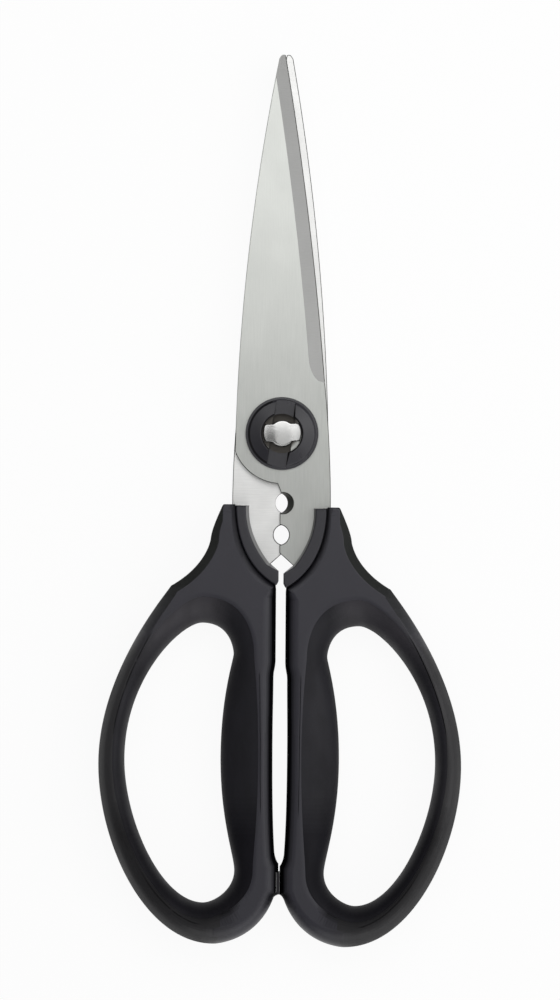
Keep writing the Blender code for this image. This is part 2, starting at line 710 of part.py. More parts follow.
def body_stations():
    """Stations round the handle body, clockwise from the top of the groove.

    Each has its place on the outline, the way inwards, the edge there, and the position on the finger hole
    that lies nearest to the inner side of that edge.
    """
    corner = NECK_CORNER_RADIUS
    groove = groove_points(0)
    neck_top = (NECK_CORNER_X, -NECK_TOP_Y)
    neck = (NECK_CORNER_X + corner, -NECK_TOP_Y - corner)
    flare = (NECK_FLARE_X, -NECK_FLARE_Y)
    waist = (NECK_WAIST_X, -NECK_WAIST_Y)
    shoulder = (SHOULDER_X, -SHOULDER_Y)
    widest = (HALF_SPREAD, -WIDEST_Y)
    end = (LOOP_END_X, -HANDLE_REACH)
    foot = (NIB_FOOT_X, -NIB_FOOT_Y)
    nib_bottom = (NIB_HALF_GAP, -NIB_BOTTOM_Y)
    nib_top = (NIB_HALF_GAP, -NIB_TOP_Y)
    low = (GAP_LOW_X, -GAP_LOW_Y)
    wide = (GAP_WIDE_X, -GAP_WIDE_Y)
    step = (GAP_STEP_X, -GAP_STEP_Y)
    top = (GAP_TOP_X, -GAP_TOP_Y)
    gap_top = (GAP_TOP_X, -GROOVE_END_Y - GROOVE_LEAD)
    stretches = [
        (stretch(groove[0], 0, neck_top, 0, (0.3, 0.3), 1), GROOVE_EDGE),
        (stretch(neck_top, 0, neck, -66, (0.4, 0.4), 2), SQUARE_EDGE),
        (stretch(neck, -66, flare, -68, (0.3, 0.3), 1), SQUARE_EDGE),
        (stretch(flare, -68, waist, -84, (0.4, 0.3), 3), FLARE_EDGE),
        (stretch(waist, -84, shoulder, -30, (0.02, 0.67), 8), NECK_EDGE),
        (stretch(shoulder, -57, widest, -90, (0.06, 0.47), 12), NECK_EDGE),
        (stretch(widest, -90, end, 180, (0.37, 0.32), 12), LIMB_EDGE),
        (stretch(end, 180, foot, 110, (0.02, 0.63), 8), LIMB_EDGE),
        (stretch(foot, 110, nib_bottom, 90, (0.3, 0.3), 2), GAP_EDGE),
        (stretch(nib_bottom, 90, nib_top, 90, (0.3, 0.3), 3), NIB_EDGE),
        (stretch(nib_top, 50, low, 84, (0.3, 0.3), 2), NIB_EDGE),
        (stretch(low, 86, wide, 90, (0.3, 0.3), 4), GAP_EDGE),
        (stretch(wide, 90, step, 90, (0.3, 0.3), 2), GAP_EDGE),
        (stretch(step, 90, top, 90, (0.4, 0.4), 1), GAP_EDGE),
        (stretch(top, 90, gap_top, 90, (0.3, 0.3), 2), GAP_EDGE),
        ([Vector(gap_top)], GROOVE_EDGE),
        (list(reversed(groove[1:])), GROOVE_EDGE),
    ]
    ends = [edge for run, edge in stretches[1:]] + [GROOVE_EDGE]
    places = []
    edges = []
    for (run, edge), next_edge in zip(stretches, ends):
        for i, point in enumerate(run):
            places.append(point)
            edges.append([a + (b - a) * i / len(run) for a, b in zip(edge, next_edge)])
    wide_rim = [Vector((p.x * LINE_STRETCH, p.y)) for p in hole_outline(LINER_WIDTHS)]
    stations = []
    for point, side, edge in zip(places, inward(places), edges):
        inner = point + side * edge[0]
        position = nearest_place(wide_rim, Vector((inner.x * LINE_STRETCH, inner.y)))
        stations.append((point, side, edge, position))
    return stations


def section_rows(stations, drop):
    """Rows of the body's section: the front edge and face, then the nose behind the cushion."""
    liner = hole_outline(LINER_WIDTHS)
    nose = hole_outline([CUSHION_WALL] * 6)
    rows = [[] for _ in range(len(EDGE_ANGLES) + 1)]
    seat = [[] for _ in NOSE_ANGLES]
    for point, side, (width, depth, flat), position in stations:
        for row, angle in zip(rows, EDGE_ANGLES):
            round_share = (1 - flat) * (1 - math.cos(math.radians(angle))) + flat * angle / 90
            rise_share = (1 - flat) * math.sin(math.radians(angle)) + flat * angle / 90
            place = point + side * width * round_share
            row.append((place.x, place.y - drop, FACE_HALF - depth * (1 - rise_share)))
        rim = place_on(liner, position)
        tip = place_on(nose, position)
        rows[-1].append((rim.x, rim.y - drop, FACE_HALF))
        for row, angle in zip(seat, NOSE_ANGLES):
            place = rim.lerp(tip, math.sin(math.radians(angle)))
            row.append((place.x, place.y - drop, (FACE_HALF - CUSHION_EDGE) * math.cos(math.radians(angle))))
    return rows, seat


def handle_body(side, parent, drop, plastic, tang):
    """Moulded body of the handle, lofted round the finger hole, on the insert and the tang."""
    rows, seat = section_rows(body_stations(), drop)
    back = [[(x, y, -z) for x, y, z in row] for row in reversed(rows)]
    name = f"{side}_handle"
    obj = add(name, loop_mesh(name, rows + seat + back), parent, plastic)
    reach = FIT_GAP + SKIRT_WALL + FIT_GAP
    outline = drop_points(skirt_outline(FIT_GAP), drop)
    pocket = plate_mesh(f"{side}_pocket", [outline], INNER_FACE - reach, OUTER_FACE + reach)
    combine(obj, "DIFFERENCE", add(f"{side}_pocket", pocket, parent), tang)
    return obj


def loop_cushion(side, parent, drop, rubber):
    """Soft lining of the finger hole, a channel section that wraps the body's nose."""
    liner = hole_outline([width - FIT_GAP for width in LINER_WIDTHS])
    nose = hole_outline([CUSHION_WALL - FIT_GAP] * 6)
    hole = hole_outline([0] * 6)
    crown = FACE_HALF - CUSHION_SINK
    seat = FACE_HALF - CUSHION_EDGE + FIT_GAP
    outside = [[] for _ in NOSE_ANGLES]
    inside = [[] for _ in NOSE_ANGLES]
    for *_, position in body_stations():
        rim = place_on(liner, position)
        for rows, height, tip in (
            (outside, crown, place_on(hole, position)), (inside, seat, place_on(nose, position)),
        ):
            for row, angle in zip(rows, NOSE_ANGLES):
                place = rim.lerp(tip, math.sin(math.radians(angle)))
                row.append((place.x, place.y - drop, height * math.cos(math.radians(angle))))
    name = f"{side}_loop_cushion"
    return add(name, loop_mesh(name, outside + list(reversed(inside))), parent, rubber)


def stop_pad(parent, rubber, handle):
    """Small pad let into the rear handle's nib, which meets the other nib when the scissors close."""
    face = -NIB_HALF_GAP + STOP_GAP
    root = NIB_HALF_GAP + PAD_SEAT_DEPTH

    def box(grow):
        left, right = face - grow, root + grow
        low, high = -PAD_BOTTOM_Y - grow, -PAD_TOP_Y + grow
        return [Vector(p) for p in ((left, low), (left, high), (right, high), (right, low))]

    half = PAD_HEIGHT / 2
    pocket = plate_mesh("stop_pocket", [box(FIT_GAP)], -half - FIT_GAP, half + FIT_GAP)
    combine(handle, "DIFFERENCE", add("stop_pocket", pocket, parent))
    add("stop_pad", plate_mesh("stop_pad", [box(0)], -half, half, PAD_ROUND), parent, rubber)


# Assembly

def half_frame(name):
    frame = bpy.data.objects.new(name, None)
    parts.objects.link(frame)
    frame.location = (0, PIVOT_Y, FACE_HALF)
    return frame


def handle(side, parent, drop, plastic, body, rubber):
    tang = tang_cutter(f"{side}_tang_pocket", parent)
    collar_insert(side, parent, drop, plastic, tang)
    loop_cushion(side, parent, drop, rubber)
    return handle_body(side, parent, drop, body, tang)


def main():
    for obj in list(bpy.data.objects):
        bpy.data.objects.remove(obj)
    for collection in (parts, cutters):
        bpy.context.scene.collection.children.link(collection)
    steel = colour("blade steel", (0.60, 0.61, 0.59), 0.35, 1.0)
    bright = colour("stud steel", (0.72, 0.72, 0.71), 0.25, 1.0)
    hard = colour("hard plastic", (0.045, 0.045, 0.052), 0.38, 0.0)
    body = colour("handle plastic", (0.040, 0.040, 0.046), 0.50, 0.0)
    rubber = colour("soft rubber", (0.018, 0.017, 0.022), 0.65, 0.0)
    front = half_frame("front_half")
    rear = half_frame("rear_half")
    rear.rotation_euler.y = math.pi
    blades = [front_blade(front, steel), rear_blade(rear, steel)]
    pivot_ring(front, hard)
    pivot_stud(rear, bright)
    handle("right", front, FRONT_HANDLE_DROP, hard, body, rubber)
    left = handle("left", rear, 0, hard, body, rubber)
    stop_pad(rear, rubber, left)
    settle(blades)


main()
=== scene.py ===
"""Herb scissors, seen from straight above on a white ground.

Metres, +Z up, +Y towards the tips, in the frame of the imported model. Each half is modelled about its pivot:
the origin is on the pivot's axis, z = 0 is the plane between the blades, and x runs out towards that half's
finger loop. The front half stands as modelled, and the rear half is turned over about its long axis.
"""

import json
from math import asin, atan2, copysign, cos, pi, radians, sin, sqrt, tan

import bmesh
import bpy
from mathutils import Matrix, Vector
from mathutils.geometry import interpolate_bezier
from mathutils.kdtree import KDTree


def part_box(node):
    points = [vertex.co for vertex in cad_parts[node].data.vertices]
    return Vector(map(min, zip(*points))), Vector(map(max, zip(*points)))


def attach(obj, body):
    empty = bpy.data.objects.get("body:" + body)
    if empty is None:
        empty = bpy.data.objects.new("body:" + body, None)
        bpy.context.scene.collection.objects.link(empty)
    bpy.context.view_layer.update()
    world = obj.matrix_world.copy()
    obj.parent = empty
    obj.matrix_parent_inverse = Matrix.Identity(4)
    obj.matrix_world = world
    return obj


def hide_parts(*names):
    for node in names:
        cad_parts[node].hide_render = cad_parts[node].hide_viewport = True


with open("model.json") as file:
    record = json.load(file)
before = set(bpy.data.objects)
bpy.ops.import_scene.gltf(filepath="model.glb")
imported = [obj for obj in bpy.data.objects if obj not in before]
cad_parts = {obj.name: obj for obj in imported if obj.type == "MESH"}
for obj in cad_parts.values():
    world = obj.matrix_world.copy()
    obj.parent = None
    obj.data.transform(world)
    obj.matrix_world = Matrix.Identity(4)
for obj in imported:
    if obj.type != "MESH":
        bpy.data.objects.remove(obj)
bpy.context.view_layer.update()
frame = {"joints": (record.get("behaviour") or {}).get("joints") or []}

# The photograph
PIXEL = 0.0002489  # size of a pixel at the blades
IMAGE_SIZE = (560, 1000)
PIVOT_PIXEL = (282.0, 433.6)
ROLL = radians(0.4)  # the scissors lean this much to the right in the picture
LENS = 300.0
SENSOR = 36.0
CLIP_SHARE = 4  # of the camera's distance

# Heights and places that the frame gives
HINGE = next(joint for joint in frame["joints"] if joint["name"] == "blade_pivot")
PIVOT = Vector(HINGE["pos_m"])
FACE_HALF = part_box("right_handle")[1].z - PIVOT.z
BLADE_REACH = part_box("front_blade")[1].y - PIVOT.y
INNER_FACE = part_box("front_blade")[0].z - PIVOT.z
OUTER_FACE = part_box("front_blade")[1].z - PIVOT.z
HANDLE_REACH = PIVOT.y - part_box("left_handle")[0].y
HALF_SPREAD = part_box("right_handle")[1].x
FRONT_HANDLE_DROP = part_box("left_handle")[0].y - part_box("right_handle")[0].y
BLADE_THICKNESS = OUTER_FACE - INNER_FACE

# Clearances
FIT_GAP = 0.0003
SEAT_GAP = 0.0002
BORE_GAP = 0.00015

# Blades. Points are in plan, as x and y.
SPINE_FOOT_X = 0.01165
SPINE_BOW = 0.0022
EDGE_HEEL = (0.0106, 0.0126)
EDGE_BOW = 0.0009
TIP_NOSE = 0.0013
TIP_FALL = 0.8  # how far below the tip the nose leaves the spine, as a share of the nose
TIP_TOP = 0.1  # how far before the middle the tip is highest, as a share of the nose
TIP_LAND = 0.00036
BEVEL_WIDTH = 0.0036
BEVEL_TAPER = 0.10  # how much narrower it is at the tip, as a share
BEVEL_LAND = 0.00035
BEVEL_RUNOUT = 0.0064
BEVEL_RUN = 1.07  # of the grinding, over the length of the edge
HONE_WIDTH = 0.00018  # of the steep last strip of the ground edge
HONE_DROP = 0.00025
REAR_BOW = 0.100  # of the rear blade, over the square of the distance from the pivot
SHOULDER_RADIUS = 0.0125
BLADE_EDGE = 0.00017  # break of the steel's edges

# Herb stripper
TANG_LAP = 0.00042
NOTCH_RADIUS = 0.00259
NOTCH_Y = 0.0173
NOTCH_INNER_SHIFT = 0.0012
NOTCH_OUTER_SHIFT = 0.00032
NOTCH_LEDGE = 0.86  # height of the ledge over the notch's middle, as a share of its radius
NOTCH_NECK_X = 0.0010
NOTCH_FLARE = 0.00020
LOWER_NOTCH_RADIUS = 0.00249
LOWER_NOTCH_Y = 0.0252
LOWER_NOTCH_SHIFT = 0.00058
CROTCH_Y = 0.0297
CROTCH_SLOPE = radians(42)

# Tang inside the handle
TANG_OUTER_X = 0.01225
TANG_SHOULDER_Y = 0.0240
TANG_BAR_X = (0.0031, 0.0081)
TANG_BAR_Y = 0.0400
TANG_END_Y = 0.0730

# Pivot stud
SHANK_RADIUS = 0.0030
HEAD_RADIUS = 0.00475
WING_HALF_WIDTH = 0.0022
HEAD_FILLET = 0.0010
HEAD_THICKNESS = 0.0015
HEAD_EDGE = 0.00022
HEAD_DIP = 0.0005  # how much lower the head's top is at the ends of its wings
HEAD_BEND = 0.0013  # from here out
HUB_DIP = 0.00009  # and at the hub's sides
HEAD_RINGS = (0.94, 0.88, 0.82, 0.76, 0.7, 0.64, 0.58, 0.52, 0.45, 0.3, 0.1)  # shares of its outline
HEAD_SHIFT = (0.0001, 0.0002)  # play of the head in its ring
RIVET_RADIUS = 0.0046
RIVET_HEIGHT = 0.0011
RIVET_RIM = 0.35  # height of the rivet's rim, as a share
STUD_ANGLE = radians(2.6)
SLOT_ANGLE = radians(81.8)
KEY_CLEARANCE = 0.0004

# Ring round the stud's head
RING_RADIUS = 0.00905
RING_BORE_RADIUS = 0.0049
RING_HEIGHT = 0.0023
RING_FLANGE_HEIGHT = 0.0008
RING_CHAMFER = 0.0004
RING_WALL_RADIUS = 0.0085
RING_CREST_RADIUS = 0.0080
RING_CREST_DROP = 0.0010
RING_SLOT_DEPTH = 0.0013
RING_SLOT_HALF = 0.00265
RING_SLOT_REACH = 0.02
RING_SLOT_DRAFTS = (0.0005, 0.0001)  # how much each wall of the way leans out
RING_FILLET = 0.00012

# Neck of the handle
NECK_TOP_Y = 0.01765
NECK_CORNER_X = 0.0141
NECK_CORNER_RADIUS = 0.0007
NECK_FLARE = (0.01604, -0.0212)
NECK_WAIST = (0.01755, -0.0263)
SHOULDER = (0.0273, -0.0380)

# Collar beside the steel
GROOVE_TOP_X = 0.01145
GROOVE_END = (0.0013, -0.0378)
GROOVE_SEAM = 0.00012
COLLAR_TOP_DROP = 0.0003
COLLAR_STEEL_X = 0.0080
COLLAR_FOOT = (0.0030, -0.0321)
COLLAR_END = ((0.0006, -0.0342), (0.0006, -0.0367), (0.0010, -0.0375))  # and its toe
COLLAR_SINK = 0.0005
COLLAR_DRAFT = radians(7)
COLLAR_ROUND = 0.0004
SKIRT_REACH = 0.0030  # hidden flange under the groove, past its line
SKIRT_TOP_REACH = 0.0010
SKIRT_TOP_DROP = 0.00028
SKIRT_END_REACH = 0.0014
SKIRT_WALL = 0.0010
SKIRT_ROOT = 0.0012

# Loop
WIDEST_Y = 0.0822
LOOP_END_X = 0.0163
NIB_FOOT = (0.0013, -0.1154)
NIB_BOTTOM_Y = 0.1146
NIB_TOP_Y = 0.1071
NIB_HALF_GAP = 0.00016
GAP_LOW = (0.0012, -0.1042)
GAP_WIDE = (0.00183, -0.0760)
GAP_STEP = (0.0017, -0.0605)
GAP_TOP = (0.0012, -0.0565)
GROOVE_LEAD = 0.0010
GROOVE_FOOT_Y = 0.0408  # below the groove's end the gap's edge has its full width
GROOVE_END_RUN = 9  # points of the groove over which its edge turns into the gap's

# Finger hole
HOLE_TOP = (0.0195, -0.0472)
OUTER_LIMB = 0.0065
BOTTOM_LIMB = 0.01025
HOLE_WIDEST_Y = 0.0810
HOLE_END_X = 0.0189
INNER_LIMB = 0.01292
SWELL_Y = 0.0805
LOWER_RELIEF = 0.0036
LOWER_RELIEF_Y = 0.1087
UPPER_RELIEF = 0.0031
UPPER_RELIEF_Y = 0.0549
HOLE_PULLS = ((0.13, 0.52), (0.38, 0.25), (0.22, 0.46), (0.12, 0.55), (0.59, 0.05), (0.01, 0.69))

# Cushion, with widths for the six knots of the hole
LINER_WIDTHS = (0.0066, 0.0030, 0.0038, 0.0046, 0.0094, 0.0051)
CUSHION_WALL = 0.0016
CUSHION_EDGE = 0.0018
CUSHION_SINK = 0.00004
RIM_WIDTHS = (0.0012, 0.0001, 0.0014, 0.0012, 0.0009, 0.0012)
RIM_SLOPE = 0.28  # of the face where it falls to the cushion, over a rim of RIM_FULL or more
RIM_FULL = 0.0012
RIM_STEPS = 6
RIM_ROUND = 0.00004  # soft corner where the body meets the cushion
SEAM = 0.00002  # between the cushion and the body at the face

# Stop pad
PAD_TOP_Y = 0.1091
PAD_BOTTOM_Y = 0.1145
PAD_SEAT_DEPTH = 0.0005
PAD_HEIGHT = 0.0108
PAD_CONTACT = 0.00001
PAD_FIT = 0.00002
PAD_ROUND = 0.0003

# Edge of the handle: width in plan, depth, 0 for a round edge or 1 for a flat chamfer, and the width of the
# soft shoulder between the edge and the face
SQUARE_EDGE = (0.0005, 0.0005, 0.0, 0.0003)
FLARE_EDGE = (0.0016, 0.0014, 1.0, 0.0003)
NECK_EDGE = (0.0021, 0.0018, 1.0, 0.0003)
LIMB_EDGE = (0.0031, 0.0050, 0.0, 0.0002)
BOTTOM_EDGE = (0.0046, 0.0056, 0.0, 0.0002)
FOOT_EDGE = (0.0030, 0.0040, 0.0, 0.0002)
GAP_EDGE = (0.0029, 0.0034, 0.0, 0.0002)
GAP_TOP_EDGE = (0.0033, 0.0036, 0.0, 0.0002)
GAP_HEAD_EDGE = (0.0020, 0.0026, 0.0, 0.0002)
NIB_EDGE = (0.0034, 0.0038, 0.0, 0.0002)
GROOVE_END_EDGE = (0.0014, 0.0016, 0.0, 0.0003)
GROOVE_EDGE = (0.0019, 0.0012, 0.0, 0.0003)
WALL_LEAD = 0.0003  # straight run of the side wall before an edge turns

# Where the finishes and the painted shade lie: a tilt is the z of a face's normal, and a run is where one
# begins and is full
FINISHES = 8  # steps of each change of finish, most of them painted shade
FLAT_TILT = 0.9999
GRINDING_TILTS = (0.80, 0.97)  # of the ground edge
CUT_TILT = 0.30  # of the blade's cut sides, which are painted near-black as shade
GROUND_FACE = 2e-8  # faces of the ground edge are larger than those of the rounded sides
WAY_WALL_TILT = 0.90  # of the walls in the ring's way that are painted dark as shade
WAY_WALL_TURN = -0.2  # those that face left reach the ring's outer wall
# Painted shade on the handle body: its chamfers, limbs, steep sides, the edges along the gap and the groove's
# lip are darkened
CHAMFER_TILTS = (0.20, 0.92)
CHAMFER_RUN_Y = (-0.0570, -0.0370)
LIMB_RUN_Y = (-0.0430, -0.0600)
LIMB_RUN_X = (0.0100, 0.0190)
SIDE_TILTS = (0.72, 0.25)  # painted shade: the limb's and the lining's sides are darker and duller the steeper they are
SIDE_LEAST_LIMB = 0.6
GAP_SIDE = 0.0045
GAP_TILTS = (0.97, 0.60)
NIB_RUN_Y = (-NIB_BOTTOM_Y - 0.0050, -NIB_BOTTOM_Y)
LIP_REACH = 0.0017  # painted shade beside the groove
HOLLOW_REACH = 0.0034  # painted shade: the body is darker and duller beside the lining, at the bottom of the loop
HOLLOW_RUN_X = (0.0090, 0.0120)
HOLLOW_LIMB_X = 0.0145
HOLLOW_SHARE = 0.85
HOLLOW_LEAST = 0.15
BOTTOM_SHADE_RUN_Y = (-0.0900, -0.1000)  # painted shade: the lining is darker towards the bottom of the hole
TOP_LINING_RUN_Y = (-0.0600, -0.0500)  # and lighter and glossier towards the top
TOP_LINING_RUN_X = (0.0120, 0.0170)

# Steels, where scale is that of the brushed lines and grease_and_shade the centre and the radius of a dark
# place round the pivot: old grease, darkened further as painted shade of the deep keyway
OUTER_STEEL = dict(
    colour=(0.46, 0.47, 0.45), scale=(4200, 140, 4200), roughness=0.34, anisotropy=0.4, tangent=(1, 0, 0),
    depth=0.000001, contrast=0.05)
STEELS = {
    # grease with painted shade: the steel inside the ring's bore darkens round the pivot
    "blade steel": dict(OUTER_STEEL, grease_and_shade=((-0.0009, 0.0010, 0), 0.0053)),
    "back steel": OUTER_STEEL,
    # painted shade: the ground edge is the same steel darkened for its tilt, with its own grind
    "ground edge": dict(
        colour=(0.285, 0.285, 0.280), scale=(500, 4200, 500), roughness=0.40, anisotropy=0.3,
        tangent=(0, 1, 0), depth=0.000002, contrast=0.05),
    "ground inner face": dict(
        colour=(0.70, 0.70, 0.69), scale=(160, 3400, 160), roughness=0.36, anisotropy=0.8,
        tangent=(0.06, 1, 0), depth=0.0000012, contrast=0.05, cloud=0.06, grease_and_shade=((0, 0, 0), 0.0056)),
    # painted shade: near-black steel on the blade's cut sides and the notches' walls
    "cut side": dict(
        colour=(0.06, 0.062, 0.056), scale=(900, 900, 300), roughness=0.5, anisotropy=0.0,
        tangent=(1, 0, 0), depth=0.000004, contrast=0.08),
    "stud steel": dict(
        colour=(0.61, 0.61, 0.60), scale=(330, 60, 60), roughness=0.26, anisotropy=0.4,
        tangent=(1, 0, 0), depth=0.0000002, contrast=0.06),
}
STEEL_CLOUDS = (150, 110, 150)
STEEL_WEAR = 0.05
LINE_ROUGHNESS = 0.65  # of the noise that makes the lines
GREASE_AND_SHADE = (0.072, 0.067, 0.061)  # old grease round the pivot, darkened further as painted shade of the deep keyway
GREASE_AND_SHADE_RIM = (1.08, 0.92)  # shares of its radius between which it fades

NOISE_RANGE = (0.3, 0.7)  # most values of a noise lie in it

# Plastics and rubbers: colour, roughness and specular, then the scale and the depth of their grain
FACE_FINISH = (Vector((0.0195, 0.0185, 0.0265)), 0.42, 0.50)
# painted shade: the chamfer, limb, gap and side colours are the face's plastic darkened where shade falls
CHAMFER_SHADE = (Vector((0.024, 0.025, 0.024)), 0.50, 0.03)
LIMB_SHADE = (Vector((0.0180, 0.0173, 0.0190)), 0.44, 0.36)
GAP_SHADE = (Vector((0.0012, 0.0012, 0.0016)), 0.55, 0.05)
SIDE_SHADE = (Vector((0.0125, 0.0121, 0.0132)), 0.52, 0.06)
HARD_FINISH = ((0.0175, 0.0168, 0.0225), 0.36, 0.50)
RING_FINISH = ((0.0165, 0.0160, 0.0210), 0.30, 0.55)
RUBBER_FINISH = (Vector((0.009, 0.0085, 0.012)), 0.55, 0.25)
# painted shade: the lining's rubber darkened towards the bottom of the hole and on its steep sides
RUBBER_SHADE = (Vector((0.00675, 0.006375, 0.009)), 0.55, 0.11)
# the lining lighter and glossier towards the top of the hole
TOP_LINING_FINISH = (Vector((0.0195, 0.0175, 0.0225)), 0.51, 0.40)
# the stop pad's rubber, lighter than the lining
PAD_FINISH = ((0.022, 0.021, 0.024), 0.55, 0.15)
HANDLE_GRAIN = (7000, 0.000005)
HARD_GRAIN = (9000, 0.000004)
RING_GRAIN = (9000, 0.000003)
RUBBER_GRAIN = (6000, 0.000008)
GRAIN_CONTRAST = 0.14
GRAIN_DETAIL = 2.0
MOULD_CLOUDS = (190, 80, 140)
EDGE_MOTTLE = 0.10
RUBBER_MOTTLE = (0.20, 0.07)  # and its wear

# Ground and light
GROUND_HALF = 20.0
GROUND_GAP = 0.00005
GROUND_FINISH = ((0.9, 0.9, 0.9), 0.9, 0.1)
GROUND_WHITE = 0.93  # share of plain white that the camera sees in the ground
WORLD_LIGHT = 0.12
LAMPS = {  # place, target, size and radiance
    "key": ((0.04, 0.192, 0.35), (0.04, 0.192, 0), (0.52, 0.30), 1.73),
    "top": ((0.115, -0.085, 0.35), (0.115, -0.085, 0), (0.37, 0.27), 0.57),
    "right": ((0.55, 0.0, 0.35), (0, 0, 0), (0.80, 0.45), 1.5),
    "left": ((-0.55, 0.0, 0.35), (0, 0, 0), (0.80, 0.45), 0.32),
    "front": ((0.15, -0.60, 0.30), (0, 0, 0), (0.90, 0.50), 1.3),
}

# Sampling
FINENESS = 4  # points along the handle for each one of the solid's
KNOT_STEPS = 80
ROUND_STEPS = 128
BLADE_STEPS = 64
BEVEL_STEPS = 120
TIP_STEPS = (8, 5)  # before and after its highest point
HEEL_STEPS = 18
TANG_STEPS = 16
TANG_END_STEPS = 20
SKIRT_STEPS = 12
LINE_STEPS = 48
KEY_STEPS = 12
COLLAR_STEPS = 36
EDGE_STEPS = 10
SHOULDER_STEPS = 4
CORNER_TURN = radians(1.5)
NOSE_STEPS = 8
CUSHION_STEPS = 14
LINING_STATIONS = 300
QUARTER = [radians(a) for a in (0, 22.5, 45, 67.5, 90)]
SHARP = radians(38)
BLADE_SHARP = radians(24)
OVERRUN = 0.001  # of a cutter past what it cuts
WELD = 1e-6
FINE_WELD = 1e-7
FILLET_SHARE = 0.45  # of a side that a fillet takes at most
MITRE_LEAST = 0.5


# Shares and points in plan

def ramp(value, start, end):
    """How far a value is from start to end, from 0 to 1."""
    return min(max((value - start) / (end - start), 0), 1)


def direction(degrees):
    return Vector((cos(radians(degrees)), sin(radians(degrees))))


def stretch(start, heading, end, end_heading, pulls, steps):
    """Smooth points from start to just before end. Pulls are shares of the chord."""
    start, end = Vector(start), Vector(end)
    chord = (end - start).length
    leave = start + direction(heading) * chord * pulls[0]
    arrive = end - direction(end_heading) * chord * pulls[1]
    knots = [p.to_3d() for p in (start, leave, arrive, end)]
    return [p.to_2d() for p in interpolate_bezier(*knots, steps + 1)][:-1]


def bow(start, end, rise, steps, run=1.0):
    """Shallow arc from start to just before end, or further where run is over 1, bulging to the left."""
    start, end = Vector(start), Vector(end)
    along = end - start
    left = Vector((-along.y, along.x)).normalized()
    shares = [run * i / steps for i in range(steps)]
    return [start + along * u + left * (4 * rise * u * (1 - u)) for u in shares]


def arc(centre, radius, start, end, steps):
    """Points on a circle, both ends included, angles in radians."""
    angles = [start + (end - start) * i / steps for i in range(steps + 1)]
    return [Vector(centre) + Vector((cos(a), sin(a))) * radius for a in angles]


def circle(centre, radius, steps=ROUND_STEPS):
    return arc(centre, radius, 0, 2 * pi, steps)[:-1]


def inward(points, closed=True):
    """Mitred normals that point to the right of travel."""
    count = len(points)
    normals = []
    for i, point in enumerate(points):
        before = points[i - 1] if closed or i else point
        after = points[(i + 1) % count] if closed or i + 1 < count else point
        sides = [b - a for a, b in ((before, point), (point, after)) if (b - a).length > 0]
        units = [Vector((s.y, -s.x)).normalized() for s in sides]
        total = units[0] + units[-1]
        normals.append(total / max(1 + units[0].dot(units[-1]), MITRE_LEAST))
    return normals


def place_on(outline, position):
    first = int(position) % len(outline)
    return outline[first].lerp(outline[(first + 1) % len(outline)], position % 1)


def even_positions(outline, count):
    """Positions along a closed outline that lie the same length apart."""
    lengths = [(outline[(i + 1) % len(outline)] - p).length for i, p in enumerate(outline)]
    step = sum(lengths) / count
    positions = []
    covered = 0
    for i, length in enumerate(lengths):
        while len(positions) < count and len(positions) * step < covered + length:
            positions.append(i + (len(positions) * step - covered) / length)
        covered += length
    return positions


def drop_points(points, drop):
    return [Vector((p.x, p.y - drop)) for p in points]


def turn_points(points, angle):
    c, s = cos(angle), sin(angle)
    return [Vector((p.x * c - p.y * s, p.x * s + p.y * c)) for p in points]


# Meshes

def linked(name, data):
    """A new object in the scene."""
    obj = bpy.data.objects.new(name, data)
    bpy.context.scene.collection.objects.link(obj)
    return obj


def applied(obj):
    """The object's mesh with its modifiers in it. The object goes."""
    graph = bpy.context.evaluated_depsgraph_get()
    mesh = bpy.data.meshes.new_from_object(obj.evaluated_get(graph))
    bpy.data.objects.remove(obj)
    return mesh


def combined(mesh, operation, *others):
    """The mesh with others cut from it or joined to it."""
    obj = linked("work", mesh)
    tools = [linked("tool", other) for other in others]
    for tool in tools:
        step = obj.modifiers.new(tool.name, "BOOLEAN")
        step.operation = operation
        step.object = tool
    mesh = applied(obj)
    for tool in tools:
        bpy.data.objects.remove(tool)
    return mesh


def finish_mesh(bm):
    bmesh.ops.remove_doubles(bm, verts=bm.verts, dist=FINE_WELD)
    bmesh.ops.dissolve_degenerate(bm, edges=bm.edges, dist=FINE_WELD)
    bmesh.ops.recalc_face_normals(bm, faces=bm.faces)
    mesh = bpy.data.meshes.new("mesh")
    bm.to_mesh(mesh)
    bm.free()
    return mesh


def plate_mesh(outlines, low, high, edge=0.0, rounding=1):
    """A flat plate from closed outlines, the later ones its holes, with its edges rounded by edge."""
    curve = bpy.data.curves.new("plate", "CURVE")
    curve.dimensions = "2D"
    curve.fill_mode = "BOTH"
    curve.extrude = (high - low) / 2 - edge
    curve.bevel_depth = edge
    curve.bevel_resolution = rounding
    curve.offset = -edge
    for outline in outlines:
        spline = curve.splines.new("POLY")
        spline.points.add(len(outline) - 1)
        for knot, point in zip(spline.points, outline):
            knot.co = (point.x, point.y, 0, 1)
        spline.use_cyclic_u = True
    bm = bmesh.new()
    bm.from_mesh(applied(linked("plate", curve)))
    bmesh.ops.translate(bm, vec=(0, 0, (high + low) / 2), verts=bm.verts)
    return finish_mesh(bm)


def lofted(bm, rows, closed=False):
    """Faces between rings of points, one after the other, and if closed from the last to the first."""
    rings = [[bm.verts.new(p) for p in row] for row in rows]
    for lower, upper in zip(rings, rings[1:] + (rings[:1] if closed else [])):
        for i, vert in enumerate(lower):
            j = (i + 1) % len(lower)
            bm.faces.new((vert, lower[j], upper[j], upper[i]))
    return rings


def solid_mesh(rows):
    """A solid through rings of points, with its two ends closed."""
    bm = bmesh.new()
    rings = lofted(bm, rows)
    bmesh.ops.triangulate(bm, faces=[bm.faces.new(rings[0]), bm.faces.new(rings[-1])])
    return finish_mesh(bm)


def stack_mesh(levels):
    """A solid through outlines at rising heights, each as (height, points)."""
    return solid_mesh([[(p.x, p.y, height) for p in points] for height, points in levels])


